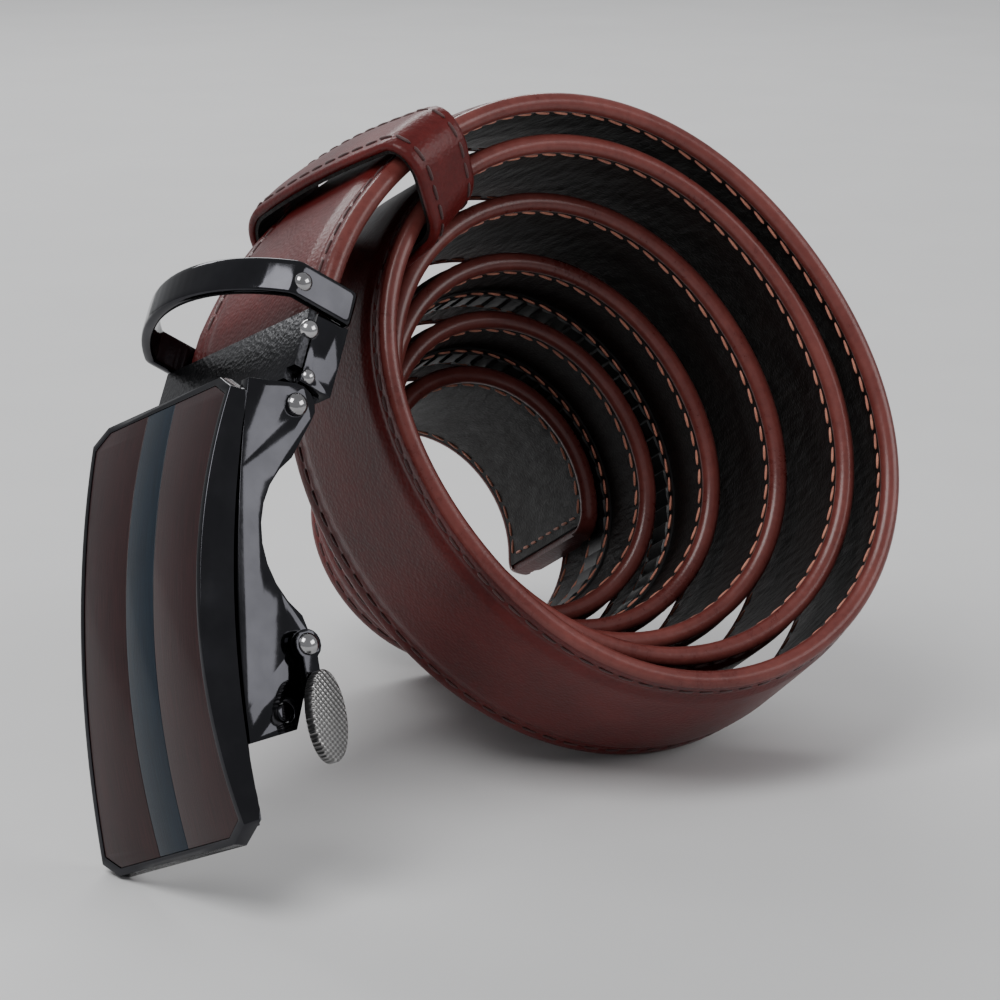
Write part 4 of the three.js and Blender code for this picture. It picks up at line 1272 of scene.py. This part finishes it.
@dataclass
class Face:
    """The curved, bevelled face of the buckle with its three lacquered strips. Sizes in millimetres."""

    finishes: Finishes
    length: float = 67
    width: float = 39
    base_rise: float = 2.9
    end_thickness: float = 2
    middle_thickness: float = 4.2
    corner_across: float = 4.4
    corner_along: float = 2.8
    side_land: float = 0.8
    bevel_angle: float = 30
    rim: float = 1.0
    inlay: float = 0.8
    stripe: float = 7.2
    segments: int = 56
    hinge_along = 29.9
    hinge_drop = 8.4

    def base(self, y: np.ndarray) -> np.ndarray:
        """Height of the curved underside."""
        return self.base_rise * (1 - (y / (self.length / 2)) ** 2)

    def top(self, y: np.ndarray) -> np.ndarray:
        """Height of the curved top."""
        rise = self.base_rise + self.middle_thickness - self.end_thickness
        return self.end_thickness + rise * (1 - (y / (self.length / 2)) ** 2)

    def _slab(
        self,
        name: str,
        lower: Callable[[np.ndarray], np.ndarray],
        upper: Callable[[np.ndarray], np.ndarray],
        shrink: float,
        sides: tuple[float, float] = (-30, 30),
    ) -> bpy.types.Object:
        """A curved slab with the face's outline, in the buckle frame.

        Args:
            name: of the piece.
            lower: height of its underside along the buckle.
            upper: height of its top.
            shrink: how far the outline is drawn in.
            sides: lowest and highest x that is kept.

        Returns:
            The slab, still in the buckle frame.
        """
        obj, _ = grid(name, 2, self.segments)
        edit(obj, lambda: bpy.ops.mesh.extrude_region_move(TRANSFORM_OT_translate={"value": (0, 0, 1)}))
        flat = vertices(obj)
        y = flat[:, 1] * self.length
        heights = np.where(flat[:, 2] > 0.5, upper(y), lower(y))
        move_to(obj, np.stack([flat[:, 0] * self.width, y, heights], 1) * MM)
        tidy(obj)
        half, end = self.width / 2 - shrink, self.length / 2 - shrink
        slope = math.tan(math.radians(self.bevel_angle))
        planes = [((sides[0], 0, 0), (-1, 0, 0)), ((sides[1], 0, 0), (1, 0, 0))]
        for sign_y in (-1, 1):
            planes.append(((0, sign_y * end, 0), (0, sign_y, 0)))
        for sign in (-1, 1):
            planes.append(((sign * half, 0, 0), (sign, 0, 0)))
            planes.append(((sign * half, 0, self.side_land), (sign, 0, slope)))
            for sign_y in (-1, 1):
                corner = (sign * (half - self.corner_across), sign_y * end, 0)
                planes.append((corner, (sign * self.corner_along, sign_y * self.corner_across, 0)))
        for point, normal in planes:
            self._cut(obj, Vector(point) * MM, Vector(normal).normalized())
        return obj

    @staticmethod
    def _cut(obj: bpy.types.Object, point: Vector, normal: Vector) -> None:
        """Cuts away what lies beyond a plane and closes the cut."""
        edit(
            obj,
            lambda: bpy.ops.mesh.bisect(plane_co=point, plane_no=normal, use_fill=True, clear_outer=True),
        )

    def _finish(self, obj: bpy.types.Object, width: float) -> None:
        """Rounds a finished slab's edges, lays its UV map along the buckle and puts it in place."""
        edit(obj, lambda: bpy.ops.mesh.dissolve_limited(angle_limit=math.radians(0.05)))
        soften(obj, width * MM, 3, 12)
        set_uv(obj, vertices(obj)[:, :2])
        obj.data.transform(buckle_frame())

    def build(self) -> None:
        """Builds and dresses the frame and the three strips."""
        floor_depth = self.inlay + 0.3

        def floor(y: np.ndarray) -> np.ndarray:
            """Floor of the recess."""
            return self.top(y) - floor_depth

        body = self._slab("face_surround", self.base, self.top, 0)
        pocket = self._slab("face_recess", floor, lambda y: self.top(y) + 3, self.rim)
        apply(body, "BOOLEAN", operation="DIFFERENCE", object=pocket, solver="EXACT")
        bpy.data.objects.remove(pocket)
        self._finish(body, 0.16)
        dress(body, self.finishes.gunmetal)
        ride(body, "buckle", "gunmetal", "face_frame")
        edge = self.stripe / 2
        strips = {
            "inlay_strip_front": ((edge + 0.08, 30), self.finishes.inlay, "maroon_enamel", "inlay_front"),
            "inlay_strip_middle": ((-edge, edge), self.finishes.stripe, "navy_enamel", "inlay_stripe"),
            "inlay_strip_back": ((-30, -edge - 0.08), self.finishes.inlay, "maroon_enamel", "inlay_back"),
        }
        for name, (sides, material, slot, node) in strips.items():
            strip = self._slab(name, lambda y: floor(y) + 0.05, lambda y: self.top(y) - 0.12, self.rim + 0.08, sides)
            self._finish(strip, 0.05)
            dress(strip, material)
            ride(strip, "buckle", slot, node)


# ---- Buckle hardware ---------------------------------------------------------------------------------


class Hardware:
    """The buckle's base, pins, pawl and lever, and the clamp with its tail loop."""

    REFINED = {
        "base_plate": ("buckle", "gunmetal", "gunmetal", 0.15),
        "ear_front": ("buckle", "gunmetal", "gunmetal", 0.25),
        "ear_back": ("buckle", "gunmetal", "gunmetal", 0.25),
        "guide_bar": ("buckle", "gunmetal", "gunmetal", 0.2),
        "hinge_pin": ("buckle", "bright", "steel", 0.2),
        "pawl_spring": ("buckle", "bright", "steel", 0.1),
        "pawl": ("release", "bright", "steel", 0.15),
        "pawl_shaft": ("release", "bright", "steel", 0.2),
        "release_arm": ("release", "gunmetal", "gunmetal", 0.2),
        "clamp_body": ("strap", "gunmetal", "satin_gunmetal", 0.22),
        "jaw_pin": ("strap", "bright", "steel", 0.15),
        "clamp_screw_front": ("strap", "bright", "steel", 0.15),
        "clamp_screw_back": ("strap", "bright", "steel", 0.15),
        "clamp_jaw": ("jaw", "satin", "satin_gunmetal", 0.25),
    }

    LOOP_HALF = 19.81
    LOOP_WALL = 1.8
    LOOP_START = 15.3
    LOOP_END = 20.9

    def __init__(self, finishes: Finishes) -> None:
        """Keeps the finishes."""
        self.finishes = finishes

    def build(self) -> None:
        """Builds and dresses every hard piece behind the face."""
        for node, (body, finish, slot, width) in self.REFINED.items():
            piece = refined(f"{node}_metal", node, width * MM)
            dress(piece, getattr(self.finishes, finish))
            ride(piece, body, slot, node)
        self._tab()
        self._tail_loop()
        self._domes()

    def _tail_loop(self) -> None:
        """The polished arch that holds the tail, with rounded edges all round."""
        half, wall, rise, leg, floor = self.LOOP_HALF, self.LOOP_WALL, 8.0, 6.0, -5.1
        roof = math.radians(44)
        apex = leg + half * math.tan(roof)
        corners = [(-half, floor), (half, floor), (half, leg), (0, apex), (-half, leg)]
        radius = (half / math.cos(roof) - 1) / math.tan(roof)
        points, normals = rounded_outline([np.array(c, float) for c in corners], (1.2, 1.2, 2.2, radius, 2.2), 220, 0.95)
        clamp = np.array(clamp_frame())
        middle = (self.LOOP_START + self.LOOP_END) / 2

        def place(along: float, grown: float) -> np.ndarray:
            """World points round the arch at one corner of its section."""
            flat = points + normals * (grown - wall)
            local = np.stack([flat[:, 0], np.full(len(flat), middle + along), flat[:, 1]], 1) * MM
            return local @ clamp[:3, :3].T + clamp[:3, 3]

        reach = (self.LOOP_END - self.LOOP_START) / 2
        section = [
            (reach * math.copysign(abs(math.cos(a)) ** 0.35, math.cos(a)), wall * (0.5 + 0.5 * math.copysign(
                abs(math.sin(a)) ** 0.35, math.sin(a))))
            for a in np.linspace(0, 2 * math.pi, 24, endpoint=False)
        ]
        arch = ring("tail_loop_arch", section, 220, place)
        dress(arch, self.finishes.gunmetal)
        ride(arch, "strap", "gunmetal", "tail_loop")

    def _domes(self) -> None:
        """Domed heads on the front ends of the pins."""
        hinge, across = joint("buckle_hinge")
        jaw, shaft = joint("jaw_hinge")[0], joint("pawl_hinge")[0]
        clamp = clamp_frame()
        upper = clamp @ (Vector((self.LOOP_HALF - 0.3, self.LOOP_START + 2.6, 4.6)) * MM)
        lower = clamp @ (Vector((self.LOOP_HALF - 0.9, self.LOOP_START - 3.4, 1.2)) * MM)
        heads = {
            "hinge_head": ("buckle", hinge + across * 18.9 * MM, 1.75),
            "shaft_head": ("release", shaft + across * 20.5 * MM, 1.65),
            "jaw_head": ("strap", jaw + across * 18.9 * MM, 1.15),
            "loop_rivet": ("strap", upper, 1.5),
            "clamp_rivet": ("strap", lower, 1.5),
        }
        for name, (body, at, radius) in heads.items():
            deselect()
            bpy.ops.mesh.primitive_uv_sphere_add(segments=32, ring_count=20, radius=radius * MM)
            head = bpy.context.object
            head.name = name
            turn = across.to_track_quat("Z", "Y").to_matrix().to_4x4()
            head.data.transform(Matrix.Translation(at) @ turn @ Matrix.Diagonal((1, 1, 0.75, 1)))
            smooth(head, 60)
            dress(head, self.finishes.bright)
            ride(head, body, "steel")

    def _tab(self) -> None:
        """The oval lever tab with its knurled face."""
        tab = refined("release_tab_knurled", "release_tab", 0.45 * MM, 25)
        place = buckle_frame().inverted()
        local = np.array([place @ Vector(v) for v in vertices(tab)])
        set_uv(tab, local[:, 1:3])
        dress(tab, self.finishes.knurl)
        ride(tab, "release", "satin_gunmetal", "release_tab")


# ---- Stage -------------------------------------------------------------------------------------------


@dataclass
class Stage:
    """Pale floor and backdrop, soft lights and the camera. Sizes in metres."""

    floor_size: float = 12.0
    lens: float = 129.5
    camera_from_coil: tuple[float, float, float] = (-0.2488, -0.4783, 0.1145)
    looking: tuple[float, float, float] = (0.4127, 0.8796, -0.2367)

    def build(self) -> None:
        """Builds the stage."""
        self._floor()
        self._lights()
        self._camera()

    def _floor(self) -> None:
        """A wide pale floor and an even pale surround."""
        deselect()
        bpy.ops.mesh.primitive_plane_add(size=self.floor_size, location=(0, 0, 0))
        floor = bpy.context.object
        floor.name = "floor"
        shader = Shader("pale_floor")
        cloud = shader.noise(shader.place(Space.OBJECT), 0.02, 3)
        shader.feed("Base Color", shader.blend((0.6, 0.6, 0.6), (0.66, 0.66, 0.66), cloud))
        shader.fix(Roughness=0.75)
        dress(floor, shader.material)
        world = bpy.data.worlds.new("studio")
        world.use_nodes = True
        world.node_tree.nodes["Background"].inputs[0].default_value = (0.75, 0.76, 0.78, 1)
        world.node_tree.nodes["Background"].inputs[1].default_value = 0.55
        bpy.context.scene.world = world

    def _light(self, name: str, at: Point | Sequence[float], size: Point, power: float) -> None:
        """A softbox that faces the belt.

        Args:
            name: of the light.
            at: its place.
            size: its width and height.
            power: in watts.
        """
        light = bpy.data.lights.new(name, "AREA")
        light.shape = "RECTANGLE"
        light.size, light.size_y = size
        light.energy = power
        lamp = bpy.data.objects.new(name, light)
        lamp.location = at
        aim = Vector((0, 0, 0.05)) - Vector(at)
        lamp.rotation_euler = aim.to_track_quat("-Z", "Y").to_euler()
        bpy.context.scene.collection.objects.link(lamp)

    def _lights(self) -> None:
        """A large key from above left, a fill from the right and a strip behind."""
        self._light("key_softbox", (-0.55, -0.35, 0.95), (0.6, 0.6), 9)
        self._light("fill_softbox", (0.95, -0.75, 0.6), (0.8, 0.5), 5)
        self._light("back_strip", (0.1, 1.1, 0.8), (1.2, 0.3), 9)

    def _camera(self) -> None:
        """The camera at its viewing angle."""
        camera = bpy.data.cameras.new("camera")
        camera.sensor_width = 36
        camera.lens = self.lens
        camera.clip_end = 50
        holder = bpy.data.objects.new("camera", camera)
        centre = coil_frame().translation
        holder.location = centre + Vector(self.camera_from_coil)
        holder.rotation_euler = Vector(self.looking).to_track_quat("-Z", "Y").to_euler()
        bpy.context.scene.collection.objects.link(holder)
        bpy.context.scene.camera = holder


def main() -> None:
    """Builds the belt in order."""
    logging.basicConfig(level=logging.INFO, format="%(message)s")
    finishes = Finishes()
    path = CoilPath()
    log.info("strap %.3f m", path.length)
    Strap(path, finishes).build()
    Keeper(path, finishes).build()
    Face(finishes).build()
    Hardware(finishes).build()
    Stage().build()


if __name__ == "__main__":
    main()
